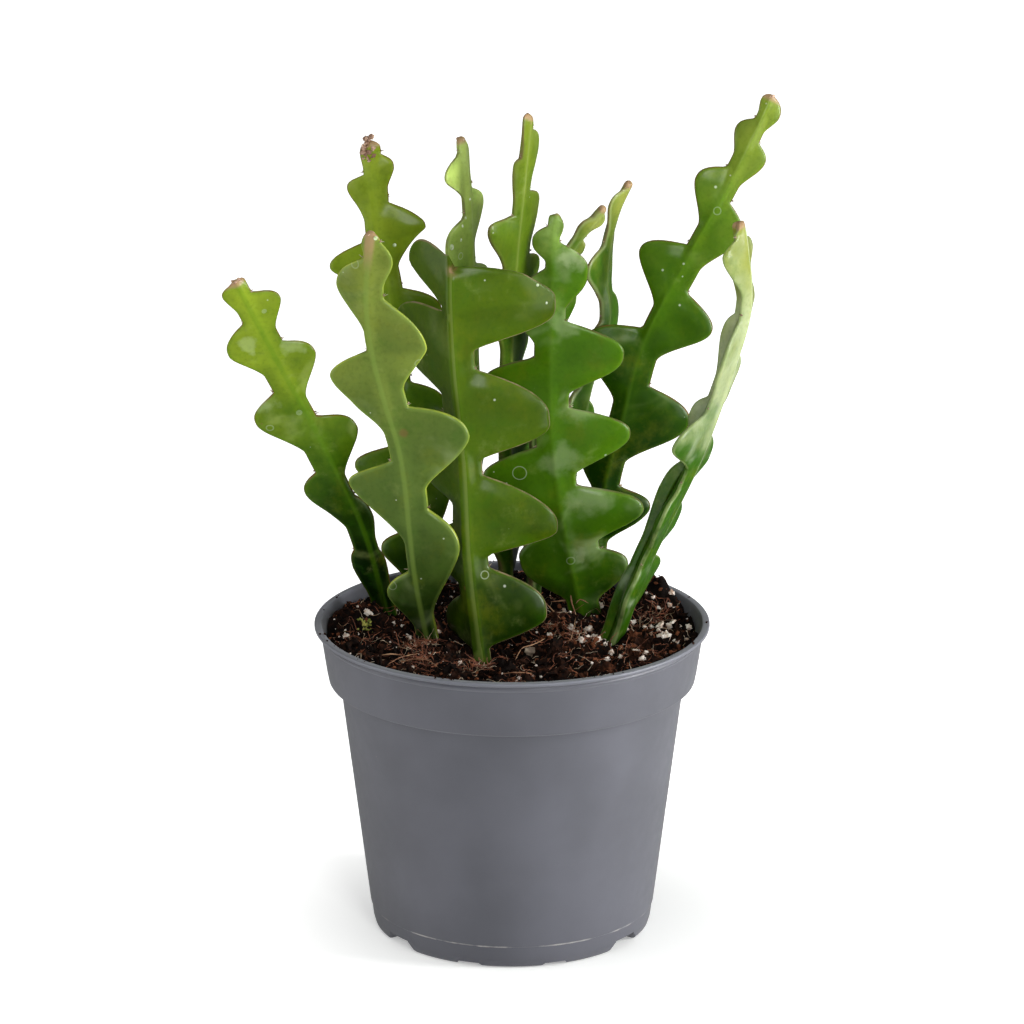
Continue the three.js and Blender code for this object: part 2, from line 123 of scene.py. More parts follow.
SPINE_PIECES = 60             # pieces that a spine is read in between two of its places
SPINE_REACH = 0.3             # how far up and down a spine's direction is taken from
ROW_STEP = 0.75               # distance between the rows of points up a stem
LAST_ROWS = (0.4, 0.08)       # how far below the very tip the last two lie
ROOT_DEPTH = 9                # length of stem below the soil
FOOT_FROM, FOOT_TO = -1, 5    # heights between which a stem may touch what lies on the soil
RIM_OF_BLADE = 1.5            # width of the rounded edge
RIM_SHARE = 0.45              # the most of a narrow blade's reach that the rounded edge takes
BLADE_THICKNESS = 2.4
PILLOW = 1.8                  # how much thicker the middle of a lobe is
PILLOW_REACH = 5.5            # how far in from the edge the blade goes on thickening
CURL = 0.003                  # how strongly the wings bend back, per millimetre of reach
LOBE_LEAN = 1.6               # how far a lobe's tip may lean forward or back
WAVE = 0.5                    # height of the blades' slow unevenness
WAVE_SIZE = 8
WAVE_FULL = 6                 # how far from the spine the unevenness is full
TIP_SHRINK = 0.5              # share of its thickness that a stem has lost at its tip
TIP_ROUND = {"bud": 1.5, "knob": 2.0, "blunt": 2.4, "cut": 2.6}     # how far down the tip is rounded
DOME_START = 0.86             # share of the length from which the top lobes bulge up
EDGE_WINDOW = 8               # rows on each side that are searched for the nearest edge
FAR_FROM_EDGE = 9             # what stands for the gap to the edge in the middle of the rib
# Steps from the rib to the rim: as a share of the way, and at most so many millimetres.
BLADE_STEPS = ((0.07, 0.45), (0.13, 1.0), (0.2, 1.7), (0.28, 99), (0.37, 99), (0.47, 99), (0.58, 99),
               (0.7, 99), (0.84, 99), (1.0, 99))
RIM_STEPS = (0.38, 0.68, 0.90, 1.0)
BACK_WING_START = 5           # the first of the steps that a wing behind the rib needs
BACK_WING_OUT = 0.6           # how far it stands out of the rib at least
BACK_WING_FOOT = 0.8          # how far out its foot begins, as a share of the rib's half thickness
BROWNED = {"bud": 1.0, "knob": 1.0, "blunt": 0.35, "cut": 0.5}      # how brown the tip is
BROWN_REACH = (3.6, 0.6)      # how far below the tip the brown starts and is full
SCAR_WIDTH = 4                # how far from the spine the scar of a healed cut reaches
TANNED = 0.85                 # how tan a midrib is at its tip
TAN_REACH = (2.6, 0.8)        # how far from the spine the tan starts and is full
NOTCH_SHADE_REACH = (0.5, 4)       # how far from the spine the painted shade in the notches starts and is full

# spine   points up the middle of the stem, from the soil to the tip
# face    the way the flat side looks, in degrees from the front, at the soil and at the tip
# fold    how far the left and right wings are bent back from flat, at the soil and at the tip
# rise    how far the left and right lobes point up at the stem's top, as a share of their reach
# dome    how far the left and right lobes at the very top bulge up above the stem's end
# flank   where the edge starts to swing out on the way up to a lobe, where it ends, and how quickly
# crown   how square a lobe's upper side is, and the share of the way to the notch where it ends
# left, right, back   the edges: notch, lobe, notch, lobe ... as (height, reach from the spine)
# rib     thickness and half width of its midrib
# tanned  how far down from the tip its midrib is tinged tan
# skin    which of the finishes it has
# tip     how it ends: "bud" is a brown scaly bud, "knob" a knobbly one, "blunt" is rounded and
#         green, and "cut" a healed cut
USUAL_STEM = dict(tip="bud", rib=(5.2, 1.6), tanned=1, face=(0, 0), fold=((0, 0), (0, 0)), rise=(0, 0),
                  dome=(0, 0), flank=(0.3, 1, 1.6), crown=(3, 0.85))
STEMS = {
    "stem_far_left": dict(
        skin="yellow_green",
        rib=(4.6, 0.9),
        spine=[(-38.5, 21.5, 92), (-45, 10, 122.5), (-56, -1.5, 151.5), (-68.5, -13, 180),
               (-74.5, -18.5, 194), (-81, -25, 209.5)],
        flank=(0.33, 1, 1.6),
        crown=(2.8, 0.92),
        left=[(0, 4), (19, 7), (27, 5), (52, 12.2), (59.5, 6.3), (83, 15.3), (92.5, 5.8), (110, 12.2),
              (119, 4), (128.6, 6), (133, 1.7), (133.4, 1.7), (134, 1.5)],
        right=[(0, 3), (17, 3.5), (25, 2.5), (36, 4), (47, 1.6), (69, 11.6), (79, 2.3), (100, 11.4),
               (108, 4.2), (122, 9.6), (128, 2.8), (132, 2.5), (134, 1.5)],
    ),
    "stem_front_left": dict(
        skin="grey_green",
        rib=(5.2, 1.9),
        tanned=22,
        spine=[(-25, 0, 90), (-29, -9.5, 116), (-32.5, -15, 151), (-38, -18.5, 173),
               (-41.5, -21.5, 189.5), (-42.5, -25, 203.5), (-42, -27.5, 214.5), (-41, -30, 225.5)],
        face=(-14, -6),
        crown=(2.3, 0.95),
        left=[(0, 4), (19, 10), (27.5, 2.3), (57.5, 17.5), (64.5, 3.5), (95, 14.2), (101.5, 1.6),
              (122, 9.3), (132, 1.7), (136, 2.5), (140, 1.5)],
        right=[(0, 3), (35, 14.3), (48.5, 6), (69, 21.5), (81.5, 6.3), (100, 16.3), (119.5, 5),
               (131, 7.3), (138, 3), (139, 2.5), (140, 1.5)],
    ),
    "stem_front_middle": dict(
        skin="deep_green",
        tip="cut",
        spine=[(-9, -13, 88), (-12.5, -11.5, 119), (-14, -10.5, 147.5), (-17, -9, 178),
               (-18, -8.5, 198), (-18, -8, 207.5)],
        fold=((58, 50), (8, 8)),
        rise=(0.64, 0),
        dome=(3.8, 1.7),
        flank=(0.28, 1, 6),
        crown=(1.8, 0.97),
        left=[(0, 4), (11, 20), (20, 7), (32, 20), (42, 8), (61, 24), (76, 8), (95, 30), (106, 4.5),
              (111.5, 20.3), (120, 5)],
        right=[(0, 2.8), (14, 21.5), (29, 5.5), (41, 27.2), (58, 5.2), (73, 27), (90.3, 6.2),
               (109.5, 31.8), (120, 18)],
    ),
    "stem_middle_right": dict(
        skin="leaf_green",
        tip="blunt",
        spine=[(21.5, 24.5, 91), (16.5, 21.5, 116.5), (12.5, 18, 144.5), (11.5, 15, 166),
               (12, 11.5, 194), (12, 9, 213), (13.5, 8, 221.5)],
        flank=(0.23, 1, 3.2),
        crown=(2, 0.98),
        left=[(0, 4), (21, 15.5), (29, 4), (49.5, 22), (57, 5), (79, 19.5), (86, 5), (104, 12),
              (115, 2), (123.5, 6), (128, 2), (131, 2.2), (132, 1.5)],
        right=[(0, 6), (14, 17.2), (20.5, 9.5), (31, 25), (42.7, 6), (58.5, 24), (69.5, 5.8), (88, 22.2),
               (98, 4.2), (114, 11), (123.5, 2.3), (129, 2.8), (132, 1.5)],
    ),
    "stem_tall_right": dict(
        skin="bright_green",
        rib=(4.8, 1.1),
        spine=[(25, 43.5, 93), (27.5, 41, 115.5), (29, 40.5, 130), (34, 39.5, 149.5),
               (40, 39.5, 173), (52.5, 41, 198), (65, 43.5, 220.5), (72.5, 45.5, 235),
               (79, 48, 249)],
        flank=(0.33, 1, 1.8),
        crown=(2.5, 0.92),
        left=[(0, 3), (16, 7), (29, 3.5), (40, 8), (54, 4), (78, 17), (87, 2), (107.5, 14),
              (116, 2), (135, 10), (142.5, 3), (154, 5.8), (159.5, 1.7), (165, 2.5), (168, 1.5)],
        right=[(10, 3), (28, 15), (35.5, 4.8), (59, 20.8), (69.7, 6), (94, 18), (102.8, 5.5), (124, 11.5),
               (133.3, 3.5), (147.5, 7.3), (153, 2.7), (162, 5.2), (168, 1.5)],
    ),
    "stem_right": dict(
        skin="pale_green",
        spine=[(31.5, 1, 91), (37.5, -1, 109), (43.5, -2.5, 124), (55.5, -5, 150.5),
               (65.5, -8, 180.5), (69.5, -10, 198), (68.5, -11.5, 215), (67, -12, 224)],
        face=(82, 60),
        fold=((0, 0), (-25, 20)),
        left=[(0, 4), (14, 9), (27, 5), (44, 15), (56, 6), (70.5, 22.5), (82, 9), (98, 13),
              (112, 4), (132, 11), (137, 4), (139, 3), (142, 1.5)],
        right=[(0, 3.5), (23, 12), (29, 4), (38, 10), (50, 4), (62, 9), (73, 3.5), (88, 10),
               (100, 3.5), (114, 12), (122, 3.5), (130, 9), (136, 3), (142, 1.5)],
        back=[(0, 4.6), (10, 5), (26, 4), (50, 6.2), (62, 3.8), (75, 7), (84, 3.5), (103, 6),
              (112, 3.5), (124, 5), (134, 3), (142, 2.8)],
    ),
    "stem_back_left": dict(
        skin="olive_green",
        tip="knob",
        spine=[(-28.5, 36.5, 93), (-32, 37, 139.5), (-37, 37.5, 188.5), (-41, 37.5, 207.5),
               (-41.5, 38, 219.5), (-43, 38, 237)],
        left=[(0, 4), (15, 11), (22, 3.5), (42, 17), (50, 3), (80, 8), (88, 3), (109, 16.5),
              (115, 3.5), (130, 8.5), (135, 3), (140, 3.5), (145, 2)],
        right=[(0, 3.5), (33, 12), (46, 3), (58, 13), (70, 3), (88, 15), (99.5, 4), (116, 15),
               (127, 4), (136, 6.5), (141, 3), (143, 3), (145, 2)],
    ),
    "stem_back_narrow": dict(
        skin="green",
        spine=[(-11, 39.5, 93), (-11.5, 35, 149.5), (-13, 32.5, 198.5), (-13.3, 31.5, 214),
               (-14, 31, 226), (-15.5, 30, 240)],
        face=(60, 60),
        left=[(0, 3), (17, 11), (25, 3), (47, 13.5), (56, 3), (82, 13), (90, 2.5), (114, 11.5),
              (124, 2.5), (137.5, 13), (143.5, 2.5), (147, 1.5)],
        right=[(0, 3), (18, 10), (30, 3), (60, 14), (70, 3), (98, 14), (108, 3.5), (124.5, 8.5),
               (131.5, 3), (141, 4.5), (147, 1.5)],
    ),
    "stem_back_middle": dict(
        skin="striped_green",
        spine=[(-2, 38.5, 93), (-2, 33, 144), (-1.5, 30, 171.5), (0, 27.5, 199.5),
               (2.5, 24.5, 224.5), (4, 23, 239), (5, 22, 248.5)],
        face=(60, 56),
        rise=(0.5, 0),
        crown=(4.5, 0.92),
        left=[(0, 3), (28, 14), (39, 3), (64, 13), (74, 3.5), (97, 12), (103, 5), (119.5, 14.8),
              (124.5, 3), (137, 3.5), (143, 2), (152, 3.5), (157, 1.5)],
        right=[(0, 3), (14, 11), (26, 3), (48, 15), (58, 4), (80, 14), (89, 9), (104, 16),
               (110, 9.5), (121.5, 14.5), (132, 5.5), (143.5, 9.5), (152, 3), (157, 1.5)],
    ),
    "stem_back_thin": dict(
        skin="thin_green",
        spine=[(6.5, 36.5, 93), (9.5, 35, 140), (12.5, 33, 175.5), (15, 31.5, 198), (18, 31, 205.5),
               (23, 30.5, 212), (28, 30, 218.5)],
        face=(70, 60),
        left=[(0, 3), (16, 9), (28, 3), (54, 10), (64, 3), (86, 10), (98, 3), (107, 4), (114, 3),
              (121, 4), (126, 2), (129, 1.5)],
        right=[(0, 3), (24, 10), (36, 3), (62, 11), (74, 3), (93, 11), (102, 4), (111.5, 9.5),
               (118, 3), (124, 4.5), (129, 1.5)],
    ),
    "stem_back_right": dict(
        skin="thin_green",
        spine=[(15, 44, 93), (18.5, 47, 133.5), (22.5, 48, 154.5), (28.5, 48.5, 177),
               (28, 48.5, 190.5), (29, 48, 202), (32, 47, 213.5), (36, 46, 222.5)],
        face=(58, 68),
        left=[(0, 3), (23, 9), (36, 3), (56, 10), (67, 5), (80, 8.5), (88, 3.5), (104, 12),
              (112, 3), (125, 7.5), (131, 2), (133, 1.5)],
        right=[(0, 3), (22, 9), (35, 3), (50, 10), (62, 3), (84, 12), (96, 6), (108, 8), (117, 3),
               (127, 5), (131, 2), (133, 1.5)],
    ),
}
STEMS = {name: {**USUAL_STEM, **own} for name, own in STEMS.items()}

# ------------------------------------------------------------------ small helpers


def linear(hex_colour):
    """An sRGB hex colour as linear RGBA."""
    channels = [int(hex_colour[i:i + 2], 16) / 255 for i in (1, 3, 5)]
    turned = [c / 12.92 if c <= 0.04045 else ((c + 0.055) / 1.055) ** 2.4 for c in channels]
    return (*turned, 1.0)


def add(tree, kind, *inputs, output=0, **named):
    """Adds a node and gives one of its outputs.

    inputs are for its sockets in order, and a name that starts with a capital is a socket's: each
    is a link, a value or a hex colour, and None leaves a socket alone.  Other names are settings.
    """
    made = tree.nodes.new(kind)
    for name, value in named.items():
        if name[0].islower():
            setattr(made, name, value)
    pairs = list(zip([socket for socket in made.inputs if socket.enabled], inputs))
    for name, value in named.items():
        if name[0].isupper():
            pairs.append((made.inputs[name.replace("_", " ")], value))
    for socket, value in pairs:
        if isinstance(value, bpy.types.NodeSocket):
            tree.links.new(value, socket)
        elif value is not None:
            socket.default_value = linear(value) if isinstance(value, str) else value
    return [socket for socket in made.outputs if socket.enabled][output]


def laid_on(tree, under, over, by, start, full, strength=1.0):
    """A colour laid on another: not at all where by is at start, and by strength where it is at full."""
    share = add(tree, "ShaderNodeMapRange", by, start, full, 0.0, strength, interpolation_type="SMOOTHSTEP")
    return add(tree, "ShaderNodeMix", share, under, over, data_type="RGBA")


def new_material(name):
    """An empty material, its node tree, and the place on the piece in metres."""
    material = bpy.data.materials.new(name)
    material.use_nodes = True
    tree = material.node_tree
    tree.nodes.clear()
    return material, tree, add(tree, "ShaderNodeTexCoord", output=3)


def finished(material, **sockets):
    """A material with its shader: each of the shader's sockets that is named gets a link or a constant."""
    tree = material.node_tree
    surface = add(tree, "ShaderNodeBsdfPrincipled", **sockets)
    end = tree.nodes.new("ShaderNodeOutputMaterial")
    tree.links.new(surface, end.inputs["Surface"])
    return material


def per(size):
    """The scale of a pattern whose parts are size millimetres across."""
    return 1 / (size * MM)


def mesh_object(name, points, faces, soft=True):
    """A mesh object from points in millimetres."""
    mesh = bpy.data.meshes.new(name)
    mesh.from_pydata([tuple(c * MM for c in p) for p in points], [], faces)
    mesh.validate()
    mesh.update()
    mesh.polygons.foreach_set("use_smooth", [soft] * len(mesh.polygons))
    made = bpy.data.objects.new(name, mesh)
    scene.collection.objects.link(made)
    return made


def mark(piece, name, values):
    """Writes one number for each point, for the material to read."""
    layer = piece.data.attributes.new(name, "FLOAT", "POINT")
    layer.data.foreach_set("value", values)


def finish_piece(piece, slot, material, *replaced):
    """Gives a piece its material and its body, and hides the nodes that it stands for; slot is not used."""
    piece.data.materials.append(material)
    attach(piece, "root")
    if replaced:
        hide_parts(*replaced)


def joined(parts):
    """Several (points, faces) as one."""
    points, faces = [], []
    for some_points, some_faces in parts:
        start = len(points)
        points += some_points
        faces += [tuple(start + i for i in face) for face in some_faces]
    return points, faces


def strewn(name, parts, slot, material, soft=True):
    """One piece made of many small parts."""
    piece = mesh_object(name, *joined(parts), soft=soft)
    finish_piece(piece, slot, material)
    return piece


def smooth(t, low, high):
    """0 where t is at low or before it, 1 at high or after it, and a soft rise between them."""
    x = min(max((t - low) / (high - low), 0.0), 1.0)
    return x * x * (3 - 2 * x)


def circle(radius, sides):
    """Points round a circle."""
    angles = [2 * math.pi * i / sides for i in range(sides)]
    return [(radius * math.cos(a), radius * math.sin(a)) for a in angles]


# ------------------------------------------------------------------ materials

# Cactus skin is a waxy cuticle over green tissue: satin to the light, greener or yellower with
# age, with a lighter rib and a thin corky brown line along the edge.
# foot, middle, top   the tissue's colours on the way up
# dark, young         where on the way up the foot's colour ends and the top's starts: from, to
# rib, edge, wax_and_ridge_highlight   the colours of the midrib and of the painted highlight along the edge,
#                     the corky edge, and the waxy bloom and the painted highlight on the ridge
# ribbed, edge_highlight, waxed, ridge_highlight   how strongly the rib, the painted highlight along the
#                     rounded edge, the waxy bloom and the painted highlight on the ridge show
# marks               single marks: what each is, where, and its radius
USUAL_SKIN = dict(dark=(-0.02, 0.42), young=(0.35, 1.0), waxed=0.2, ridge_highlight=0, marks=())
SKINS = {
    "yellow_green": dict(
        dark=(0.10, 0.58),
        foot="#0a1e02", middle="#3b5f08", top="#829822", rib="#507810",
        edge="#6a4a1c", wax_and_ridge_highlight="#b0c070", ribbed=0.35, edge_highlight=0.2, waxed=0.35,
        # The pale patches among these marks are painted highlights on the upper lobes.
        marks=[("scar", (-74.7, -7.9, 160.8), 0.4), ("bloom_and_painted_highlight", (-74.5, -11, 168), 5),
               ("bloom_and_painted_highlight", (-64.2, -15.5, 187.2), 4), ("bloom_and_painted_highlight", (-78, -18.4, 188), 3.5)]),
    "olive_green": dict(
        dark=(-0.1, 0.4), young=(0.45, 1.0),
        foot="#1c3806", middle="#567a12", top="#879b22", rib="#8ca234",
        edge="#6a4a1c", wax_and_ridge_highlight="#a8b858", ribbed=0.2, edge_highlight=0.2,
        marks=[("drop stain", (-35.7, 36.4, 204.7), 0.8)]),
    "grey_green": dict(
        foot="#162c06", middle="#52682a", top="#728032", rib="#728a3c",
        edge="#a2ae3c", wax_and_ridge_highlight="#9aa878", ribbed=0.5, edge_highlight=0.4, waxed=0.3,
        marks=[("scar", (-32.1, -18.6, 161.1), 1.9)]),
    "deep_green": dict(
        foot="#102602", middle="#445e06", top="#445c04", rib="#527408",
        edge="#957f64", wax_and_ridge_highlight="#8c9c50", ribbed=0.25, edge_highlight=0.2, ridge_highlight=0.35,
        marks=[("ring", (-8.2, -12.5, 115.0), 1.2), ("drop stain", (-2.2, -12.0, 111.3), 0.6),
               ("scar", (-14.2, -12.0, 110.7), 0.9), ("scar", (-17.3, -7.5, 208.7), 1.7),
               ("drop stain", (-5.2, -9.1, 168.6), 0.5)]),
    "leaf_green": dict(
        dark=(-0.08, 0.42), young=(0.8, 1.0),
        foot="#1a3804", middle="#47700a", top="#82a04c", rib="#5e8418",
        edge="#5c5234", wax_and_ridge_highlight="#b2c48c", ribbed=0.15, edge_highlight=0.3, waxed=0.35,
        # The pale patches among these marks are painted highlights on the upper lobes.
        marks=[("ring", (2.3, 17.0, 138.1), 2.1), ("drop stain", (28.5, 18.7, 143.3), 0.5),
               ("bloom_and_painted_highlight", (19.5, 9.9, 207.0), 5), ("bloom_and_painted_highlight", (18.5, 9.9, 208.0), 4),
               ("bloom_and_painted_highlight", (14.9, 11.5, 187.5), 6), ("bloom_and_painted_highlight", (21, 16.0, 160.0), 8),
               ("bloom_and_painted_highlight", (24.5, 18.9, 131), 9), ("bloom_and_painted_highlight", (15, 16, 142), 7),
               ("bloom_and_painted_highlight", (20, 21.3, 110.5), 3.5)]),
    "green": dict(
        foot="#1c3a06", middle="#5c8e1a", top="#aac062", rib="#a0b460",
        edge="#5f5a34", wax_and_ridge_highlight="#b8c690", ribbed=0.35, edge_highlight=0.3, waxed=0.3, ridge_highlight=0.2,
        marks=[("ring", (-15.5, 26.5, 203.8), 1.0)]),
    "striped_green": dict(
        young=(0.45, 1.0), foot="#1c3a06", middle="#40660a", top="#6a7e1c", rib="#828f42",
        edge="#6c5a3c", wax_and_ridge_highlight="#98a868", ribbed=0.3, edge_highlight=0.25, ridge_highlight=0.2),
    "thin_green": dict(
        dark=(-0.02, 0.5), young=(0.75, 1.04),
        foot="#1c3a06", middle="#375c08", top="#8c9440", rib="#98a46c",
        edge="#6c5a3c", wax_and_ridge_highlight="#98a868", ribbed=0.12, edge_highlight=0.45, ridge_highlight=0.2),
    "bright_green": dict(
        dark=(0.22, 0.75), young=(0.6, 1.08),
        foot="#143202", middle="#466c04", top="#7f9032", rib="#5c8016",
        edge="#6e4a28", wax_and_ridge_highlight="#a8ba6c", ribbed=0.15, edge_highlight=0.15,
        marks=[("drop stain", (62.0, 42.1, 221.5), 0.6), ("drop stain", (46.0, 39.5, 196.1), 0.5),
               ("drop stain", (51.3, 38.8, 185.2), 0.5), ("drop stain", (52.4, 39.3, 198.1), 0.5)]),
    "pale_green": dict(
        dark=(0.42, 0.68), young=(0.72, 1.0),
        foot="#2f5608", middle="#a3ad80", top="#808830", rib="#a6b470",
        edge="#7c8c54", wax_and_ridge_highlight="#c4ceb0", ribbed=0.1, edge_highlight=0.0, waxed=0.4, ridge_highlight=0.5),
}

# What each point of a stem knows for its material: its share of the way up, how far it is from the
# spine and from the edge, how brown and corky it is, and how deep in a notch it lies, which sets the
# painted shade there.
TRAITS = ("up", "across", "margin", "brown", "notch_shade")

# What a mark on the skin is: its colour, how strongly it shows, and how far its outline strays in
# millimetres.  Only a ring is hollow.
MARKS = {
    "ring": ("#cdd9bb", 0.3, 0),
    "drop stain": ("#dbe2cc", 0.5, 0),
    "scar": ("#6c5230", 0.6, 0.8),
    # Pale patches on the lobes' upper shoulders, which are painted highlights.
    "bloom_and_painted_highlight": ("#c6d4a4", 0.17, 12),
}


def cactus_skin(name, tones):
    material, tree, place = new_material("cactus_skin_" + name)
    up, across, margin, brown, notch_shade_depth = (
        add(tree, "ShaderNodeAttribute", output=2, attribute_name=key) for key in TRAITS)

    # The tissue is darkest at the foot, partly in its older colour and partly as painted shade
    # near the soil, and youngest at the top, with cloudy patches, dark specks and pale smudges.
    cloud = add(tree, "ShaderNodeTexNoise", Vector=place, Scale=per(13), Detail=4.0)
    drift = add(tree, "ShaderNodeMapRange", cloud, 0.3, 0.7, -0.10, 0.10)
    age = add(tree, "ShaderNodeMath", up, drift, operation="ADD")
    tissue = laid_on(tree, tones["foot"], tones["middle"], age, *tones["dark"])
    tissue = laid_on(tree, tissue, tones["top"], age, *tones["young"])
    speck = add(tree, "ShaderNodeTexNoise", Vector=place, Scale=per(1.3), Detail=2.0)
    tissue = laid_on(tree, tissue, tones["foot"], speck, 0.45, 0.75, 0.16)
    smudge = add(tree, "ShaderNodeTexNoise", Vector=place, Scale=per(7), Detail=5.0, Roughness=0.65)
    tissue = laid_on(tree, tissue, "#a8b468", smudge, 0.55, 0.82, 0.2)
    # Patches of its waxy bloom are paler.
    bloom_and_painted_highlight = add(tree, "ShaderNodeTexNoise", Vector=place, Scale=per(16), Detail=3.0, Distortion=0.6)
    tissue = laid_on(tree, tissue, tones["wax_and_ridge_highlight"], bloom_and_painted_highlight, 0.55, 0.78, tones["waxed"])

    # Here and there it is more olive, and elsewhere a purer green.
    hue = add(tree, "ShaderNodeTexNoise", Vector=place, Scale=per(11), Detail=6.0, Roughness=0.7)
    tissue = laid_on(tree, tissue, "#777a14", hue, 0.50, 0.72, 0.22)
    tissue = laid_on(tree, tissue, "#2c5c04", hue, 0.48, 0.30, 0.30)

    # Painted shade darkens the hollows below the notches with the foot's colour, the rib is a soft lighter
    # stripe, and a painted highlight runs along its ridge as a fine pale line.
    tissue = laid_on(tree, tissue, tones["foot"], notch_shade_depth, 0.1, 1.0, 0.20)
    tissue = laid_on(tree, tissue, tones["rib"], across, 1.2, 0.3, tones["ribbed"])
    tissue = laid_on(tree, tissue, tones["wax_and_ridge_highlight"], across, 0.28, 0.06, tones["ridge_highlight"])

    # A painted highlight in the midrib's colour pales the blade along its rounded edge, and the corky line
    # is broken here and there.
    tissue = laid_on(tree, tissue, tones["rib"], margin, 1.4, 0.4, tones["edge_highlight"])
    wander = add(tree, "ShaderNodeTexNoise", Vector=place, Scale=per(5), Detail=2.0)
    breaks = add(tree, "ShaderNodeMapRange", wander, 0.35, 0.6, 0.15, 0.75)
    tissue = laid_on(tree, tissue, tones["edge"], margin, 0.45, 0.12, breaks)

    # Dried water leaves pale rings and dots.
    rings = add(tree, "ShaderNodeTexVoronoi", Vector=place, Scale=per(9))
    chosen = add(tree, "ShaderNodeSeparateColor", rings.node.outputs["Color"])
    few = add(tree, "ShaderNodeMapRange", chosen, 0.92, 0.94, 0.0, 0.14)
    ring = add(tree, "ShaderNodeMath", rings, 0.15, 0.018, operation="COMPARE")
    tissue = laid_on(tree, tissue, "#cdd8bc", ring, 0.0, 1.0, few)
    dots = add(tree, "ShaderNodeTexVoronoi", Vector=place, Scale=per(3.6))
    picked = add(tree, "ShaderNodeSeparateColor", dots.node.outputs["Color"], output=1)
    some = add(tree, "ShaderNodeMapRange", picked, 0.86, 0.90, 0.0, 0.5)
    tissue = laid_on(tree, tissue, "#d5dcc4", dots, 0.10, 0.05, some)

    # Single marks, each at its own place: rings, stains and scars, and pale patches that are painted
    # highlights.
    ragged = add(tree, "ShaderNodeTexNoise", Vector=place, Scale=per(5), Detail=5.0)
    for kind, spot, radius in tones["marks"]:
        colour, strength, stray = MARKS[kind]
        away = add(tree, "ShaderNodeVectorMath", place, [c * MM for c in spot], operation="DISTANCE")
        if kind == "ring":
            line = add(tree, "ShaderNodeMath", away, radius * MM, 0.16 * MM, operation="COMPARE")
            tissue = laid_on(tree, tissue, colour, line, 0.0, 1.0, strength)
        else:
            away = add(tree, "ShaderNodeMath", ragged, stray * MM, away, operation="MULTIPLY_ADD")
            edge = (radius + stray / 2) * MM
            tissue = laid_on(tree, tissue, colour, away, edge, edge - 0.7 * radius * MM, strength)

    # The growing tip is brown and corky.
    tissue = laid_on(tree, tissue, "#a17f62", brown, 0.2, 1.0, 0.85)

    # The wax is glossy in some places and duller in others, over a slight unevenness.
    haze = add(tree, "ShaderNodeTexNoise", Vector=place, Scale=per(6), Detail=3.0)
    gloss = add(tree, "ShaderNodeMapRange", haze, 0.3, 0.75, 0.28, 0.50)
    grain = add(tree, "ShaderNodeTexNoise", Vector=place, Scale=per(0.9), Detail=3.0)
    swell = add(tree, "ShaderNodeTexNoise", Vector=place, Scale=per(6), Detail=2.0)
    fine = add(tree, "ShaderNodeBump", Height=grain, Strength=0.10, Distance=0.15 * MM)
    relief = add(tree, "ShaderNodeBump", Height=swell, Normal=fine, Strength=0.30, Distance=0.8 * MM)
    return finished(material, Base_Color=tissue, Normal=relief, Roughness=gloss, IOR=1.45,
                    Specular_IOR_Level=0.03, Coat_Weight=0.3, Coat_Roughness=0.21, Subsurface_Weight=0.08,
                    Subsurface_Scale=0.002, Subsurface_Radius=(0.5, 1.0, 0.1))


def moulded_polypropylene():
    """Recycled grey polypropylene, injection moulded: satin, finely grained, with a few pale scuffs."""
    material, tree, place = new_material("moulded_grey_polypropylene")
    height = add(tree, "ShaderNodeSeparateXYZ", place, output=2)
    cloud = add(tree, "ShaderNodeTexNoise", Vector=place, Scale=per(30), Detail=4.0)
    plastic = laid_on(tree, "#4b4c54", "#54555e", cloud, 0.3, 0.7)
    # The seam above the foot is scuffed in dashes.
    wander = add(tree, "ShaderNodeTexNoise", Vector=place, Scale=per(6), Detail=4.0)
    dashes = add(tree, "ShaderNodeMapRange", wander, 0.46, 0.62, 0.0, 0.55)
    seam = add(tree, "ShaderNodeMath", height, (SEAM_HEIGHT + 0.1) * MM, 0.28 * MM, operation="COMPARE")
    plastic = laid_on(tree, plastic, "#b9b4ae", seam, 0.0, 1.0, dashes)
    # A painted highlight makes the rim a little paler.
    lip_highlight_from, lip_highlight_to = (POT_HEIGHT - 1.6) * MM, (POT_HEIGHT - 0.2) * MM
    plastic = laid_on(tree, plastic, "#858993", height, lip_highlight_from, lip_highlight_to, 0.3)
    # Specks of dust and soil.
    specks = add(tree, "ShaderNodeTexVoronoi", Vector=place, Scale=per(8))
    chosen = add(tree, "ShaderNodeSeparateColor", specks.node.outputs["Color"], output=2)
    some = add(tree, "ShaderNodeMapRange", chosen, 0.86, 0.90, 0.0, 0.5)
    plastic = laid_on(tree, plastic, "#a08a7c", specks, 0.045, 0.02, some)
    wear = add(tree, "ShaderNodeTexNoise", Vector=place, Scale=per(4), Detail=4.0)
    gloss = add(tree, "ShaderNodeMapRange", wear, 0.3, 0.7, 0.40, 0.50)
    grain = add(tree, "ShaderNodeTexNoise", Vector=place, Scale=per(0.5), Detail=2.0)
    relief = add(tree, "ShaderNodeBump", Height=grain, Strength=0.10, Distance=0.1 * MM)
    # A film of dust lightens it where it is seen at a slant.
    return finished(material, Base_Color=plastic, Normal=relief, Roughness=gloss, IOR=1.49,
                    Sheen_Weight=0.17, Sheen_Roughness=0.6)


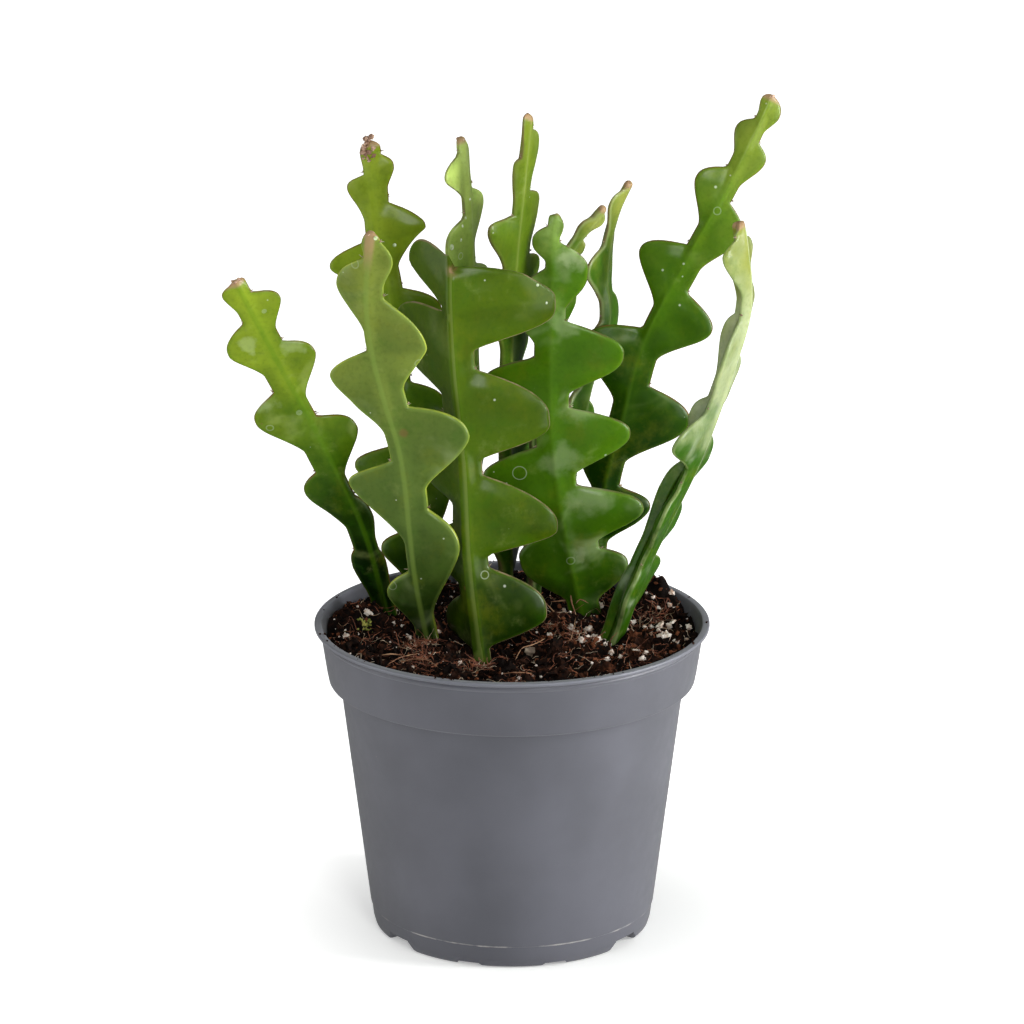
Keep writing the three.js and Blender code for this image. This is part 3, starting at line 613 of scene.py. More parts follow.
def moist_peat():
    """Moist milled peat: nearly black in its pores, red-brown on its dry crumbs, and matt; the soil's tone
    also carries painted shade in its hollows.
    """
    material, tree, place = new_material("moist_peat")
    tone = add(tree, "ShaderNodeAttribute", output=2, attribute_name="tone")
    mottle = add(tree, "ShaderNodeTexNoise", Vector=place, Scale=per(1.4), Detail=4.0)
    drift = add(tree, "ShaderNodeMapRange", mottle, 0.3, 0.7, -0.3, 0.3)
    dryness = add(tree, "ShaderNodeMath", tone, drift, operation="ADD")
    earth = laid_on(tree, "#0b0503", "#28150c", dryness, 0.15, 0.55)
    earth = laid_on(tree, earth, "#74462f", dryness, 0.55, 1.1)
    grit = add(tree, "ShaderNodeTexNoise", Vector=place, Scale=per(0.6), Detail=5.0, Roughness=0.7)
    relief = add(tree, "ShaderNodeBump", Height=grit, Strength=0.8, Distance=0.4 * MM)
    return finished(material, Base_Color=earth, Normal=relief, Roughness=0.9, Specular_IOR_Level=0.08)


def expanded_perlite():
    """Expanded volcanic glass: white, foamy and pitted, stained a little by the peat."""
    material, tree, place = new_material("expanded_perlite")
    stain = add(tree, "ShaderNodeTexNoise", Vector=place, Scale=per(1.6), Detail=4.0)
    chalk = laid_on(tree, "#eee4d8", "#a6764e", stain, 0.44, 0.68, 0.75)
    pits = add(tree, "ShaderNodeTexNoise", Vector=place, Scale=per(0.4), Detail=3.0)
    relief = add(tree, "ShaderNodeBump", Height=pits, Strength=0.7, Distance=0.25 * MM)
    return finished(material, Base_Color=chalk, Normal=relief, Roughness=0.8)


def dry_matter(name, dark, light, roughness=0.7):
    """Dry matt matter in strands, flecks and grains: its tone changes from one to the next."""
    material, tree, place = new_material(name)
    shade = add(tree, "ShaderNodeTexNoise", Vector=place, Scale=per(3), Detail=2.0)
    tone = laid_on(tree, dark, light, shade, 0.35, 0.65)
    return finished(material, Base_Color=tone, Roughness=roughness)


def water_with_painted_glint():
    """Drops left by watering: their pale colour is a painted glint of the light that they gather, and they
    have a hard bright glint of their own.
    """
    material, tree, place = new_material("water")
    cloud = add(tree, "ShaderNodeTexNoise", Vector=place, Scale=per(1), Detail=2.0)
    tone = laid_on(tree, "#a9bf86", "#dfe8cc", cloud, 0.4, 0.6)
    return finished(material, Base_Color=tone, IOR=1.33, Roughness=0.05)


skins = {name: cactus_skin(name, {**USUAL_SKIN, **tones}) for name, tones in SKINS.items()}
water = water_with_painted_glint()
polypropylene = moulded_polypropylene()
peat = moist_peat()
perlite_glass = expanded_perlite()
coir = dry_matter("coir_fibre", "#5c2e1a", "#94583a")
root_hair = dry_matter("dry_root", "#a88a68", "#dccab0")
wool = dry_matter("areole_wool", "#5a4430", "#a48c70", 0.9)
bristle = dry_matter("bristle", "#8a7058", "#cabca6", 0.5)
bud_scale = dry_matter("bud_scale", "#86624a", "#cfae94", 0.6)
moss_green = dry_matter("dry_moss", "#6f7a24", "#b8b45a", 0.8)
twig = dry_matter("dry_twig", "#7c5034", "#b98f6a")
pebble = dry_matter("pebble", "#6e5f50", "#a89882", 0.6)

# ------------------------------------------------------------------ stems


def through(places, pieces):
    """A smooth path through some places, with so many pieces between each two."""
    knots = [Vector(p) for p in places]
    knots = [knots[0] * 2 - knots[1], *knots, knots[-1] * 2 - knots[-2]]
    fine = []
    for a, b, c, d in zip(knots, knots[1:], knots[2:], knots[3:]):
        for i in range(pieces):
            t = i / pieces
            fine.append(0.5 * (2 * b + (c - a) * t + (2 * a - 5 * b + 4 * c - d) * t ** 2
                               + (3 * b - 3 * c + d - a) * t ** 3))
    return fine + [knots[-2]]


# A row of a stem: its height along the spine, that as a share of the stem's length, the length
# itself, the spine's place there, and the directions along the stem, across it and out of its face.
Row = namedtuple("Row", "height share length centre along across out")


def between(pair, share):
    """A value that goes evenly from the pair's first to its second."""
    return pair[0] + (pair[1] - pair[0]) * share


def spine_rows(stem):
    """The rows of a stem, from its root to its tip."""
    fine = through(stem["spine"], SPINE_PIECES)
    lengths = [0.0]
    for p, q in zip(fine, fine[1:]):
        lengths.append(lengths[-1] + (q - p).length)
    length = lengths[-1]

    def at(height):
        h = min(max(height, 0.0), length)
        i = next((k for k, reached in enumerate(lengths) if reached > h), len(lengths) - 1)
        span = lengths[i] - lengths[i - 1]
        return fine[i - 1].lerp(fine[i], (h - lengths[i - 1]) / span)

    count = math.ceil((length + ROOT_DEPTH) / ROW_STEP)
    heights = [(length + ROOT_DEPTH) * i / count - ROOT_DEPTH for i in range(count + 1)]
    heights[-1:] = [length - below for below in LAST_ROWS]
    rows = []
    for height in heights:
        share = min(max(height / length, 0.0), 1.0)
        inside = min(max(height, SPINE_REACH), length - SPINE_REACH)
        along = (at(inside + SPINE_REACH) - at(inside - SPINE_REACH)).normalized()
        centre = at(height)
        if height < 0:
            centre = centre + along * height
        turn = math.radians(between(stem["face"], share))
        front = Vector((math.sin(turn), -math.cos(turn), 0))
        across = along.cross(front).normalized()
        out = across.cross(along).normalized()
        rows.append(Row(height, share, length, centre, along, across, out))
    return rows


ROWS = {name: spine_rows(stem) for name, stem in STEMS.items()}


def wing_at(edge, height, flank, crown):
    """A wing's reach at a height, how far that is into a lobe from 0 to 1, and which lobe it is."""
    if height <= edge[0][0]:
        return edge[0][1], 0.0, 0
    if height >= edge[-1][0]:
        return edge[-1][1], 0.0, len(edge) // 2
    i = next(k for k, (h, _) in enumerate(edge) if h > height) - 1
    (from_height, from_reach), (to_height, to_reach) = edge[i], edge[i + 1]
    t = (height - from_height) / (to_height - from_height)
    if i % 2 == 0:
        start, end, quickness = flank
        full = 1 - (1 - min(max((t - start) / (end - start), 0.0), 1.0) ** 1.5) ** quickness
        return from_reach + (to_reach - from_reach) * full, full, i // 2
    squareness, end = crown
    full = 1 - min(1.0, t / end) ** squareness
    return to_reach + (from_reach - to_reach) * full, full, i // 2


def gap_to_edge(line, row, distance):
    """How far a point on a wing is from the wing's edge; line is the edge as (height, reach) points."""
    height = line[row][0]
    best = abs(line[row][1] - distance)
    first, last = max(row - EDGE_WINDOW, 0), min(row + EDGE_WINDOW, len(line) - 1)
    for (h0, r0), (h1, r1) in zip(line[first:last], line[first + 1:last + 1]):
        dh, dr = h1 - h0, r1 - r0
        t = ((height - h0) * dh + (distance - r0) * dr) / (dh * dh + dr * dr)
        t = min(max(t, 0.0), 1.0)
        best = min(best, math.hypot(h0 + dh * t - height, r0 + dr * t - distance))
    return best


# The side wings, in the order that they are grown: which of a left and right pair of values is
# its own, and the way that it goes across the stem.
SIDE_WINGS = {"right": (1, 1), "left": (0, -1)}


class Wing:
    """One wing of a stem: its edge, its bend, and the shape of its blade.  A back wing isn't bent."""

    def __init__(self, stem, key, rows, draw):
        own, self.sign = SIDE_WINGS.get(key, (None, 0))
        self.fold, self.rise, self.dome = (0, 0), 0, 0
        if own is not None:
            self.fold, self.rise, self.dome = stem["fold"][own], stem["rise"][own], stem["dome"][own]
        self.rib_thickness, self.rib_width = stem["rib"]
        self.reach = max(reach for _, reach in stem[key])
        self.spans = [wing_at(stem[key], row.height, stem["flank"], stem["crown"]) for row in rows]
        self.line = [(row.height, span[0]) for row, span in zip(rows, self.spans)]
        self.leans = [draw.uniform(-LOBE_LEAN, LOBE_LEAN) for _ in range(len(stem[key]) // 2 + 1)]

    def profile(self, i, thin):
        """(distance, half thickness, gap to the edge, how far the blade leans out) from rib to edge."""
        reach, full, lobe = self.spans[i]
        rim = min(RIM_OF_BLADE, reach * RIM_SHARE)
        flat = reach - rim
        distances = [min(flat * s, most) for s, most in BLADE_STEPS] + [flat + rim * s for s in RIM_STEPS]
        made = []
        for distance in distances:
            gap = gap_to_edge(self.line, i, distance) if distance < reach else 0.0
            rounding = math.sqrt(max(0.0, 1 - (1 - min(gap / rim, 1.0)) ** 2))
            rib = math.exp(-(distance / self.rib_width) ** 2)
            blade = BLADE_THICKNESS + PILLOW * smooth(gap, 0, PILLOW_REACH)
            half = thin * (blade + (self.rib_thickness - blade) * rib) / 2 * rounding
            lean = self.leans[lobe] * full * (distance / reach) ** 2 - CURL * distance * distance
            made.append((distance, half, gap, lean))
        return made


def stem_ring(stem, row, i, wings):
    """The closed ring at a row: each point, its distance from the spine, and its gap to the edge."""
    thin = 1 - TIP_SHRINK * row.share
    tip_round = TIP_ROUND[stem["tip"]]
    near_tip = (row.height - (row.length - tip_round)) / tip_round
    close = math.sqrt(max(0.0, 1 - near_tip ** 2)) if near_tip > 0 else 1.0
    half_rib = thin * stem["rib"][0] / 2

    def side(wing):
        """The front and the back of a side wing."""
        bend = math.radians(between(wing.fold, row.share))
        lift = wing.rise * row.share ** 4
        bulge = wing.dome * smooth(row.share, DOME_START, 1)
        front, back = [], []
        for distance, half, gap, lean in wing.profile(i, thin):
            swell = WAVE * noise.noise((row.centre + row.across * wing.sign * distance) / WAVE_SIZE)
            wave = lean + swell * min(distance / WAVE_FULL, 1)
            raised = distance * lift + bulge * math.sin(math.pi * distance / wing.reach)
            for face, ring in ((1, front), (-1, back)):
                a = wing.sign * (distance * math.cos(bend) + (face * half + wave) * math.sin(bend))
                o = (face * half + wave) * math.cos(bend) - distance * math.sin(bend)
                point = row.centre + (row.across * a + row.out * o) * close + row.along * raised
                ring.append((point, distance, gap))
        return front, back[:-1]

    def on_rib(way):
        """The middle of the rib's front or back."""
        return row.centre + row.out * way * half_rib * close, 0, FAR_FROM_EDGE

    right, right_back = side(wings["right"])
    left, left_back = side(wings["left"])
    ring = right[::-1] + [on_rib(1)] + left + left_back[::-1]
    if "back" not in wings:
        return ring + [on_rib(-1)] + right_back
    # A third wing stands out behind; its foot begins inside the rib.
    third = wings["back"].profile(i, thin)[BACK_WING_START:]
    shift = max(third[-1][0], half_rib + BACK_WING_OUT) - third[-1][0]
    for sign, pairs in ((-1, third), (1, third[-2::-1])):
        for distance, half, gap, _ in pairs:
            behind = max(distance + shift, half_rib * BACK_WING_FOOT)
            point = row.centre + (row.across * sign * half - row.out * behind) * close
            ring.append((point, distance, gap))
    return ring + right_back


def build_stem(name, stem):
    rows = ROWS[name]
    draw = random.Random(name)
    wings = {key: Wing(stem, key, rows, draw) for key in ("right", "left", "back") if key in stem}
    points, faces = [], []
    traits = {key: [] for key in TRAITS}

    def grow(point, *values):
        points.append(point)
        for key, value in zip(TRAITS, values):
            traits[key].append(value)

    for i, row in enumerate(rows):
        # How deep in a notch the row lies, which sets the painted shade there.
        notch_shade_depth = max(1 - wing.spans[i][1] for wing in wings.values())
        brown_from, brown_to = (row.length - below for below in BROWN_REACH)
        corky = BROWNED[stem["tip"]] * smooth(row.height, brown_from, brown_to)
        tanned = TANNED * smooth(row.height, row.length - stem["tanned"], row.length)
        for point, distance, gap in stem_ring(stem, row, i, wings):
            scar = 1 if stem["tip"] != "cut" else smooth(distance, SCAR_WIDTH, 1)
            brown = max(corky * scar, tanned * smooth(distance, *TAN_REACH))
            grow(point, row.share, distance, gap, brown, notch_shade_depth * smooth(distance, *NOTCH_SHADE_REACH))
    size = len(points) // len(rows)
    for r in range(len(rows) - 1):
        for i in range(size):
            a, b = r * size + i, r * size + (i + 1) % size
            faces.append((a, a + size, b + size, b))
    for start, last in ((0, False), ((len(rows) - 1) * size, True)):
        middle = len(points)
        centre = sum((points[start + i] for i in range(size)), Vector()) / size
        grow(centre, traits["up"][start], 0, FAR_FROM_EDGE, traits["brown"][start], 0)
        for i in range(size):
            a, b = start + i, start + (i + 1) % size
            faces.append((middle, b, a) if last else (middle, a, b))
    piece = mesh_object(name + "_skin", points, faces)
    for key, values in traits.items():
        mark(piece, key, values)
    finish_piece(piece, SLOTS[name], skins[stem["skin"]], name)


for stem_name, stem in STEMS.items():
    build_stem(stem_name, stem)

# ------------------------------------------------------------------ pot


def radius_at(foot, top, z):
    """A sloping wall's radius at a height, from its foot's and its top's radius and height."""
    return foot[0] + (top[0] - foot[0]) * (z - foot[1]) / (top[1] - foot[1])


def collar_radius(z):
    return radius_at(COLLAR_FOOT, COLLAR_TOP, z)


def body_radius(z):
    return radius_at(BODY_FOOT, BODY_TOP, z)


def quarter(centre_r, centre_z, radius, start, steps=4):
    """Points round a quarter circle, from an angle in degrees, anticlockwise."""
    angles = [math.radians(start + 90 * i / steps) for i in range(steps + 1)]
    return [(centre_r + radius * math.cos(a), centre_z + radius * math.sin(a)) for a in angles]


def turned(outline, sides):
    """A closed ring of outline points turned about Z."""
    points, faces = [], []
    for i in range(sides):
        angle = 2 * math.pi * i / sides
        points += [(r * math.cos(angle), r * math.sin(angle), z) for r, z in outline]
    size = len(outline)
    for i in range(sides):
        for k in range(size - 1):
            a, b = i * size + k, ((i + 1) % sides) * size + k
            faces.append((a, b, b + 1, a + 1))
    return points, faces


def pot_outline():
    """The pot cut through on one side, as (radius, height): from under its floor, out and over."""
    rim_under = POT_HEIGHT - RIM_THICKNESS
    foot_inner = FOOT_RADIUS - FOOT_RING
    seam = body_radius(SEAM_HEIGHT)
    bead = collar_radius(94)
    return [
        (0.01, FLOOR_UNDER), (foot_inner - 0.6, FLOOR_UNDER), (foot_inner, FLOOR_UNDER - 0.6),
        (foot_inner, 0.3), (foot_inner + 0.3, 0), (FOOT_RADIUS - 0.3, 0),
        (FOOT_RADIUS + 0.7, 0.35), (FOOT_RADIUS + 1.4, 1.0), (BODY_FOOT[0] - SEAM_DEPTH, BODY_FOOT[1]),
        # The wall stands out a little above the seam.
        (seam - SEAM_DEPTH, SEAM_HEIGHT), (seam - 0.02, SEAM_HEIGHT + 0.2),
        *((body_radius(z), z) for z in (7.8, 20, 40, 60, 74, 77)),
        (BODY_TOP[0] + 0.3, BODY_TOP[1] - 0.5), (BODY_TOP[0] + 0.9, BODY_TOP[1]),
        *quarter(COLLAR_FOOT[0] - 0.7, COLLAR_FOOT[1] + 0.7, 0.7, -90),
        *((collar_radius(z), z) for z in (82, 88, 92, 93.2)),
        # A fine bead runs round under the rim.
        (bead + 0.35, 93.7), (bead + 0.45, 94.2), (bead + 0.2, 94.7),
        (COLLAR_TOP[0] + 0.1, rim_under - 0.2), (COLLAR_TOP[0] + 0.4, rim_under),
        *quarter(RIM_RADIUS - 0.45, rim_under + 0.45, 0.45, -90),
        *quarter(RIM_RADIUS - 0.4, POT_HEIGHT - 0.4, 0.4, 0),
        *quarter(RIM_RADIUS - RIM_WIDTH + 0.35, POT_HEIGHT - 0.35, 0.35, 90),
        # The inside.
        (COLLAR_TOP[0] - WALL, COLLAR_TOP[1] - 1.5),
        (collar_radius(INNER_STEP) - WALL, INNER_STEP), (body_radius(INNER_STEP) - WALL, INNER_STEP),
        (body_radius(FLOOR_TOP + 1) - WALL, FLOOR_TOP + 1), (body_radius(FLOOR_TOP) - WALL - 1, FLOOR_TOP),
        (0.01, FLOOR_TOP),
    ]


def prism(rings):
    """A closed solid between two rings of as many points."""
    size = len(rings[0])
    faces = [tuple(range(size)), tuple(reversed(range(size, 2 * size)))]
    faces += [(i, i + size, (i + 1) % size + size, (i + 1) % size) for i in range(size)]
    return rings[0] + rings[1], faces


def notch_cutter(place):
    """What cuts a gap in the foot ring."""
    height, foot, top = LARGE_NOTCH if place in LARGE_NOTCH_PLACES else SMALL_NOTCH
    outline = [(-foot / 2, -1), (foot / 2, -1), (foot / 2, 0), (top / 2, height), (-top / 2, height),
               (-foot / 2, 0)]
    turn = Matrix.Rotation(math.radians((place + 0.5) * 360 / NOTCH_COUNT), 3, "Z")
    depths = (-FOOT_RADIUS - 8, -FOOT_RADIUS + FOOT_RING + 5)
    return prism([[tuple(turn @ Vector((x, y, z))) for x, z in outline] for y in depths])


def drain_cutter(place):
    """What cuts a drain hole in the floor; the last is the one in the middle."""
    distance = DRAIN_CIRCLE if place < DRAIN_HOLES else 0
    centre = Matrix.Rotation(2 * math.pi * place / DRAIN_HOLES, 3, "Z") @ Vector((0, -distance, 0))
    ring = [(centre.x + x, centre.y + y) for x, y in circle(DRAIN_HOLE_RADIUS, DRAIN_HOLE_SIDES)]
    return prism([[(x, y, z) for x, y in ring] for z in (FLOOR_UNDER - 2, FLOOR_TOP + 2)])


def turn_faces_out(piece, close_seams=False):
    work = bmesh.new()
    work.from_mesh(piece.data)
    if close_seams:
        bmesh.ops.remove_doubles(work, verts=work.verts, dist=0.05 * MM)
        bmesh.ops.holes_fill(work, edges=work.edges, sides=0)
    bmesh.ops.recalc_face_normals(work, faces=work.faces)
    work.to_mesh(piece.data)
    work.free()


def build_pot():
    pot = mesh_object("pot_shell", *turned(pot_outline(), POT_SIDES))
    turn_faces_out(pot, close_seams=True)
    cutters = [notch_cutter(i) for i in range(NOTCH_COUNT)]
    cutters += [drain_cutter(i) for i in range(DRAIN_HOLES + 1)]
    cutter = mesh_object("cutter", *joined(cutters), soft=False)
    turn_faces_out(cutter)
    cut = pot.modifiers.new("gaps and holes", "BOOLEAN")
    cut.object = cutter
    cut.operation = "DIFFERENCE"
    cut.solver = "EXACT"
    evaluated = pot.evaluated_get(bpy.context.evaluated_depsgraph_get())
    pot.data = bpy.data.meshes.new_from_object(evaluated)
    pot.modifiers.clear()
    bpy.data.objects.remove(cutter)
    pot.data.set_sharp_from_angle(angle=math.radians(SHARP_CORNER))
    finish_piece(pot, SLOTS["pot"], polypropylene, "pot")


build_pot()

# ------------------------------------------------------------------ soil


def soil_height(x, y):
    z = SOIL_LEVEL + SOIL_DISH * (x * x + y * y) / COLLAR_TOP[0] ** 2
    for hx, hy, height, reach in HEAPS:
        z += height * math.exp(-((x - hx) ** 2 + (y - hy) ** 2) / reach ** 2)
    for height, kx, ky, phase in RIPPLES:
        z += height * math.sin(kx * x + ky * y + phase)
    return z


def rough_soil_height(x, y):
    """The soil with its clods and pores."""
    lump_width, lump_height = SOIL_LUMPS
    clod_width, clod_height = SOIL_CLODS
    lumps = noise.noise((x / lump_width, y / lump_width, 3.1)) * lump_height
    clods = noise.turbulence((x / clod_width, y / clod_width, 7.7), 3, False) * clod_height - CLODS_SUNK
    return soil_height(x, y) + lumps + clods


def stem_feet():
    """Where each stem goes into the soil, as a line from its spine to each of its edges."""
    feet = []
    for name, stem in STEMS.items():
        low = [row for row in ROWS[name] if FOOT_FROM < row.height < FOOT_TO]
        for row in low[::2]:
            for side, (own, sign) in SIDE_WINGS.items():
                bend = math.radians(stem["fold"][own][0])
                reach = wing_at(stem[side], row.height, stem["flank"], stem["crown"])[0]
                end = row.centre + row.across * sign * reach * math.cos(bend)
                end = end - row.out * reach * math.sin(bend)
                feet.append((row.centre.xy, end.xy))
    return feet


FEET = stem_feet()


def near_stem(x, y, gap):
    spot = Vector((x, y))
    for a, b in FEET:
        span = b - a
        t = min(max((spot - a).dot(span) / max(span.length_squared, 1e-9), 0), 1)
        if (spot - a - span * t).length < gap:
            return True
    return False


def build_soil():
    """The soil as rings of points: its rough top from the middle out, then its side and its underside."""
    top_radius = collar_radius(SOIL_LEVEL) - WALL - CLEARANCE
    inside = WALL + CLEARANCE
    lower = [
        (collar_radius(INNER_STEP) - inside, INNER_STEP + CLEARANCE),
        (body_radius(INNER_STEP) - inside, INNER_STEP + CLEARANCE),
        (body_radius(FLOOR_TOP) - WALL - 1.9, FLOOR_TOP + CLEARANCE),
    ]
    points = [(0, 0, rough_soil_height(0, 0))]
    tone = [PLAIN_DRYNESS]
    patch_width, patch_change = DRY_PATCHES
    for ring in range(1, SOIL_RINGS + 1):
        for x, y in circle(top_radius * ring / SOIL_RINGS, SOIL_SIDES):
            z = rough_soil_height(x, y)
            points.append((x, y, min(z, POT_HEIGHT - RIM_THICKNESS) if ring == SOIL_RINGS else z))
            patch = patch_change * noise.noise((x / patch_width, y / patch_width, 1))
            # Painted shade and light: darker where the soil lies below its smooth level, lighter where it
            # stands out.
            tone.append(SOIL_DRYNESS + PAINTED_SHADE_BY_HEIGHT * (z - soil_height(x, y)) + patch)
    for radius, z in lower:
        points += [(x, y, z) for x, y in circle(radius, SOIL_SIDES)]
    points.append((0, 0, FLOOR_TOP + CLEARANCE))
    tone += [PLAIN_DRYNESS] * (len(points) - len(tone))

    faces = []
    bands = SOIL_RINGS + len(lower)
    last = 1 + (bands - 1) * SOIL_SIDES
    for i in range(SOIL_SIDES):
        after = (i + 1) % SOIL_SIDES
        faces.append((0, 1 + i, 1 + after))
        for band in range(bands - 1):
            here, out = 1 + band * SOIL_SIDES, 1 + (band + 1) * SOIL_SIDES
            faces.append((here + i, out + i, out + after, here + after))
        faces.append((last + after, last + i, len(points) - 1))
    soil = mesh_object("soil_surface", points, faces)
    mark(soil, "tone", tone)
    finish_piece(soil, SLOTS["soil"], peat, "soil")


build_soil()

# ------------------------------------------------------------------ loose things on the soil

# Corners and faces of an icosahedron, for lumps.
GOLDEN = (1 + math.sqrt(5)) / 2
LUMP_CORNERS = [Vector(p).normalized() for p in (
    (-1, GOLDEN, 0), (1, GOLDEN, 0), (-1, -GOLDEN, 0), (1, -GOLDEN, 0),
    (0, -1, GOLDEN), (0, 1, GOLDEN), (0, -1, -GOLDEN), (0, 1, -GOLDEN),
    (GOLDEN, 0, -1), (GOLDEN, 0, 1), (-GOLDEN, 0, -1), (-GOLDEN, 0, 1))]
LUMP_FACES = [(0, 11, 5), (0, 5, 1), (0, 1, 7), (0, 7, 10), (0, 10, 11), (1, 5, 9), (5, 11, 4),
              (11, 10, 2), (10, 7, 6), (7, 1, 8), (3, 9, 4), (3, 4, 2), (3, 2, 6), (3, 6, 8),
              (3, 8, 9), (4, 9, 5), (2, 4, 11), (6, 2, 10), (8, 6, 7), (9, 8, 1)]


def finer(corners, faces):
    """Each triangle split in four, with its new corners on the sphere."""
    corners, made, split = list(corners), {}, []

    def middle(a, b):
        key = (min(a, b), max(a, b))
        if key not in made:
            made[key] = len(corners)
            corners.append(((corners[a] + corners[b]) / 2).normalized())
        return made[key]

    for a, b, c in faces:
        ab, bc, ca = middle(a, b), middle(b, c), middle(c, a)
        split += [(a, ab, ca), (b, bc, ab), (c, ca, bc), (ab, bc, ca)]
    return corners, split


LUMPS = [(LUMP_CORNERS, LUMP_FACES)]
LUMPS.append(finer(*LUMPS[-1]))
LUMPS.append(finer(*LUMPS[-1]))


def lump(draw, centre, size, rough=0.3, detail=0):
    """An irregular lump: its points and faces.  The more detail, the more it is crumpled."""
    corners, faces = LUMPS[detail]
    about_z = Matrix.Rotation(draw.uniform(0, 2 * math.pi), 3, "Z")
    turn = about_z @ Matrix.Rotation(draw.uniform(0, math.pi), 3, "X")
    stretch = Vector((draw.uniform(0.8, 1.3), draw.uniform(0.7, 1.1), draw.uniform(0.75, 1)))
    seed = Vector((draw.uniform(0, 100), 0, 0))
    points = []
    for corner in corners:
        bump = 1 + 2 * rough * noise.noise(corner * 1.7 + seed)
        if detail:
            bump += rough * noise.noise(corner * 4.5 + seed)
        points.append(tuple(Vector(centre) + turn @ (corner * stretch) * size * bump))
    return points, faces


STRAND_END = 0.12             # how far into the rounding of its taper a strand begins and ends


def strand(path, radius, sides=4):
    """A thin tube along a path, tapering at both ends."""
    points, faces = [], []
    for i, place in enumerate(path):
        before, after = path[max(i - 1, 0)], path[min(i + 1, len(path) - 1)]
        along = (after - before).normalized()
        side = along.orthogonal().normalized()
        other = along.cross(side)
        taper = math.sin(math.pi * (STRAND_END + (1 - 2 * STRAND_END) * i / (len(path) - 1)))
        for k in range(sides):
            angle = 2 * math.pi * k / sides
            around = side * math.cos(angle) + other * math.sin(angle)
            points.append(tuple(place + around * radius * taper))
    for i in range(len(path) - 1):
        for k in range(sides):
            a, b = i * sides + k, i * sides + (k + 1) % sides
            faces.append((a, b, b + sides, a + sides))
    faces.append(tuple(reversed(range(sides))))
    faces.append(tuple(range(len(points) - sides, len(points))))
    return points, faces


CLEAR_OF_STEMS = 1.5          # how far loose things keep from the stems


def spot_on_soil(draw, gap):
    """A random place on the soil that is clear of the stems."""
    while True:
        x, y = draw.uniform(-SOIL_EDGE, SOIL_EDGE), draw.uniform(-SOIL_EDGE, SOIL_EDGE)
        if math.hypot(x, y) < SOIL_EDGE - gap and not near_stem(x, y, gap + CLEAR_OF_STEMS):
            return x, y


def skewed(draw, low, high, rarity):
    """A random value from low to high.  The higher the rarity, the fewer are near high."""
    return low + (high - low) * draw.random() ** rarity


CRUMBS = 5600
CLOD_EVERY = 26               # one crumb in so many is a clod
CRUMBS_ON_RIM = 46
# size     from, to, and how rare the large ones are
# out      how far its middle lies out of the soil, as a share of its size: from, to
# dryness  from, to, and how rare the dry ones are
CRUMB = dict(size=(0.16, 0.91, 2.5), out=(-0.1, 0.7), rough=0.5, detail=0, dryness=(0.12, 1.17, 2.3))
CLOD = dict(size=(1.0, 2.3, 1), out=(-0.3, 0.2), rough=0.8, detail=1, dryness=(0.1, 0.6, 1))
LIGHTER_SIDE = (0, 40, 0.22)      # the peat is lighter to the right: from x, to x, and by how much
LEFT_TONE_SHIFT = -0.08          # and darker than usual on the left
MOUND_HIGHLIGHT = (17, -6, 130, 0.25)     # a painted highlight on the mound: x, y, the square of its spread, and by how much


def build_crumbs():
    draw = random.Random(11)
    parts, tone = [], []
    side_from, side_to, side_change = LIGHTER_SIDE
    highlight_x, highlight_y, spread, change = MOUND_HIGHLIGHT
    for i in range(CRUMBS):
        kind = CLOD if i % CLOD_EVERY == 0 else CRUMB
        size = skewed(draw, *kind["size"])
        x, y = spot_on_soil(draw, size)
        z = rough_soil_height(x, y) + size * draw.uniform(*kind["out"])
        part = lump(draw, (x, y, z), size, kind["rough"], kind["detail"])
        parts.append(part)
        tone_and_painted_highlight = side_change * smooth(x, side_from, side_to) + LEFT_TONE_SHIFT
        # Painted highlight: the crumbs on the mound are made lighter.
        tone_and_painted_highlight += change * math.exp(-((x - highlight_x) ** 2 + (y - highlight_y) ** 2) / spread)
        tone += [tone_and_painted_highlight + skewed(draw, *kind["dryness"])] * len(part[0])
    for _ in range(CRUMBS_ON_RIM):
        angle = draw.uniform(0, 2 * math.pi)
        radius = RIM_RADIUS - draw.uniform(0.5, 1.9)
        size = draw.uniform(0.15, 0.4)
        place = (radius * math.cos(angle), radius * math.sin(angle), POT_HEIGHT + size * 0.5)
        part = lump(draw, place, size, 0.5)
        parts.append(part)
        tone += [0.5] * len(part[0])
    crumbs = strewn("peat_crumbs", parts, SLOTS["soil"], peat, soft=False)
    mark(crumbs, "tone", tone)


build_crumbs()

# Where fibres lie thick: x, y, spread, and how many there are to TANGLED_TO loose ones.
TANGLES = [(-28, -9, 4.5, 110), (-29, -26, 6, 60), (-12, -30, 6, 60), (20, -4, 7, 60), (44, 15, 7, 60),
           (-46, -8, 5, 40), (38, -18, 6, 40), (12, 8, 4, 40)]
TANGLED_TO = 600
# Each kind of fibre: its piece's name, material, number, and ranges of radius, length and rise.
FIBRES = [
    ("coir_fibres", coir, 600, (0.05, 0.17), (2, 8), (-0.1, 0.25)),
    ("dry_roots", root_hair, 200, (0.04, 0.11), (2, 7), (-0.1, 0.4)),
]
FIBRE_WOBBLE = 0.45
FIBRE_STEPS = 7


def curved_path(draw, start, heading, length, rise):
    """A wandering path in millimetres that starts at a point and keeps near the soil or above it."""
    path = [Vector(start)]
    direction = Vector((math.cos(heading), math.sin(heading), rise)).normalized()
    for _ in range(FIBRE_STEPS):
        wobble = Vector([draw.uniform(-FIBRE_WOBBLE, FIBRE_WOBBLE) for _ in range(3)])
        direction = (direction + wobble).normalized()
        path.append(path[-1] + direction * length / FIBRE_STEPS)
    return path


def laid(path, lift=0.3):
    """A path dropped so that it lies on the soil."""
    return [Vector((p.x, p.y, max(p.z, rough_soil_height(p.x, p.y) + lift))) for p in path]


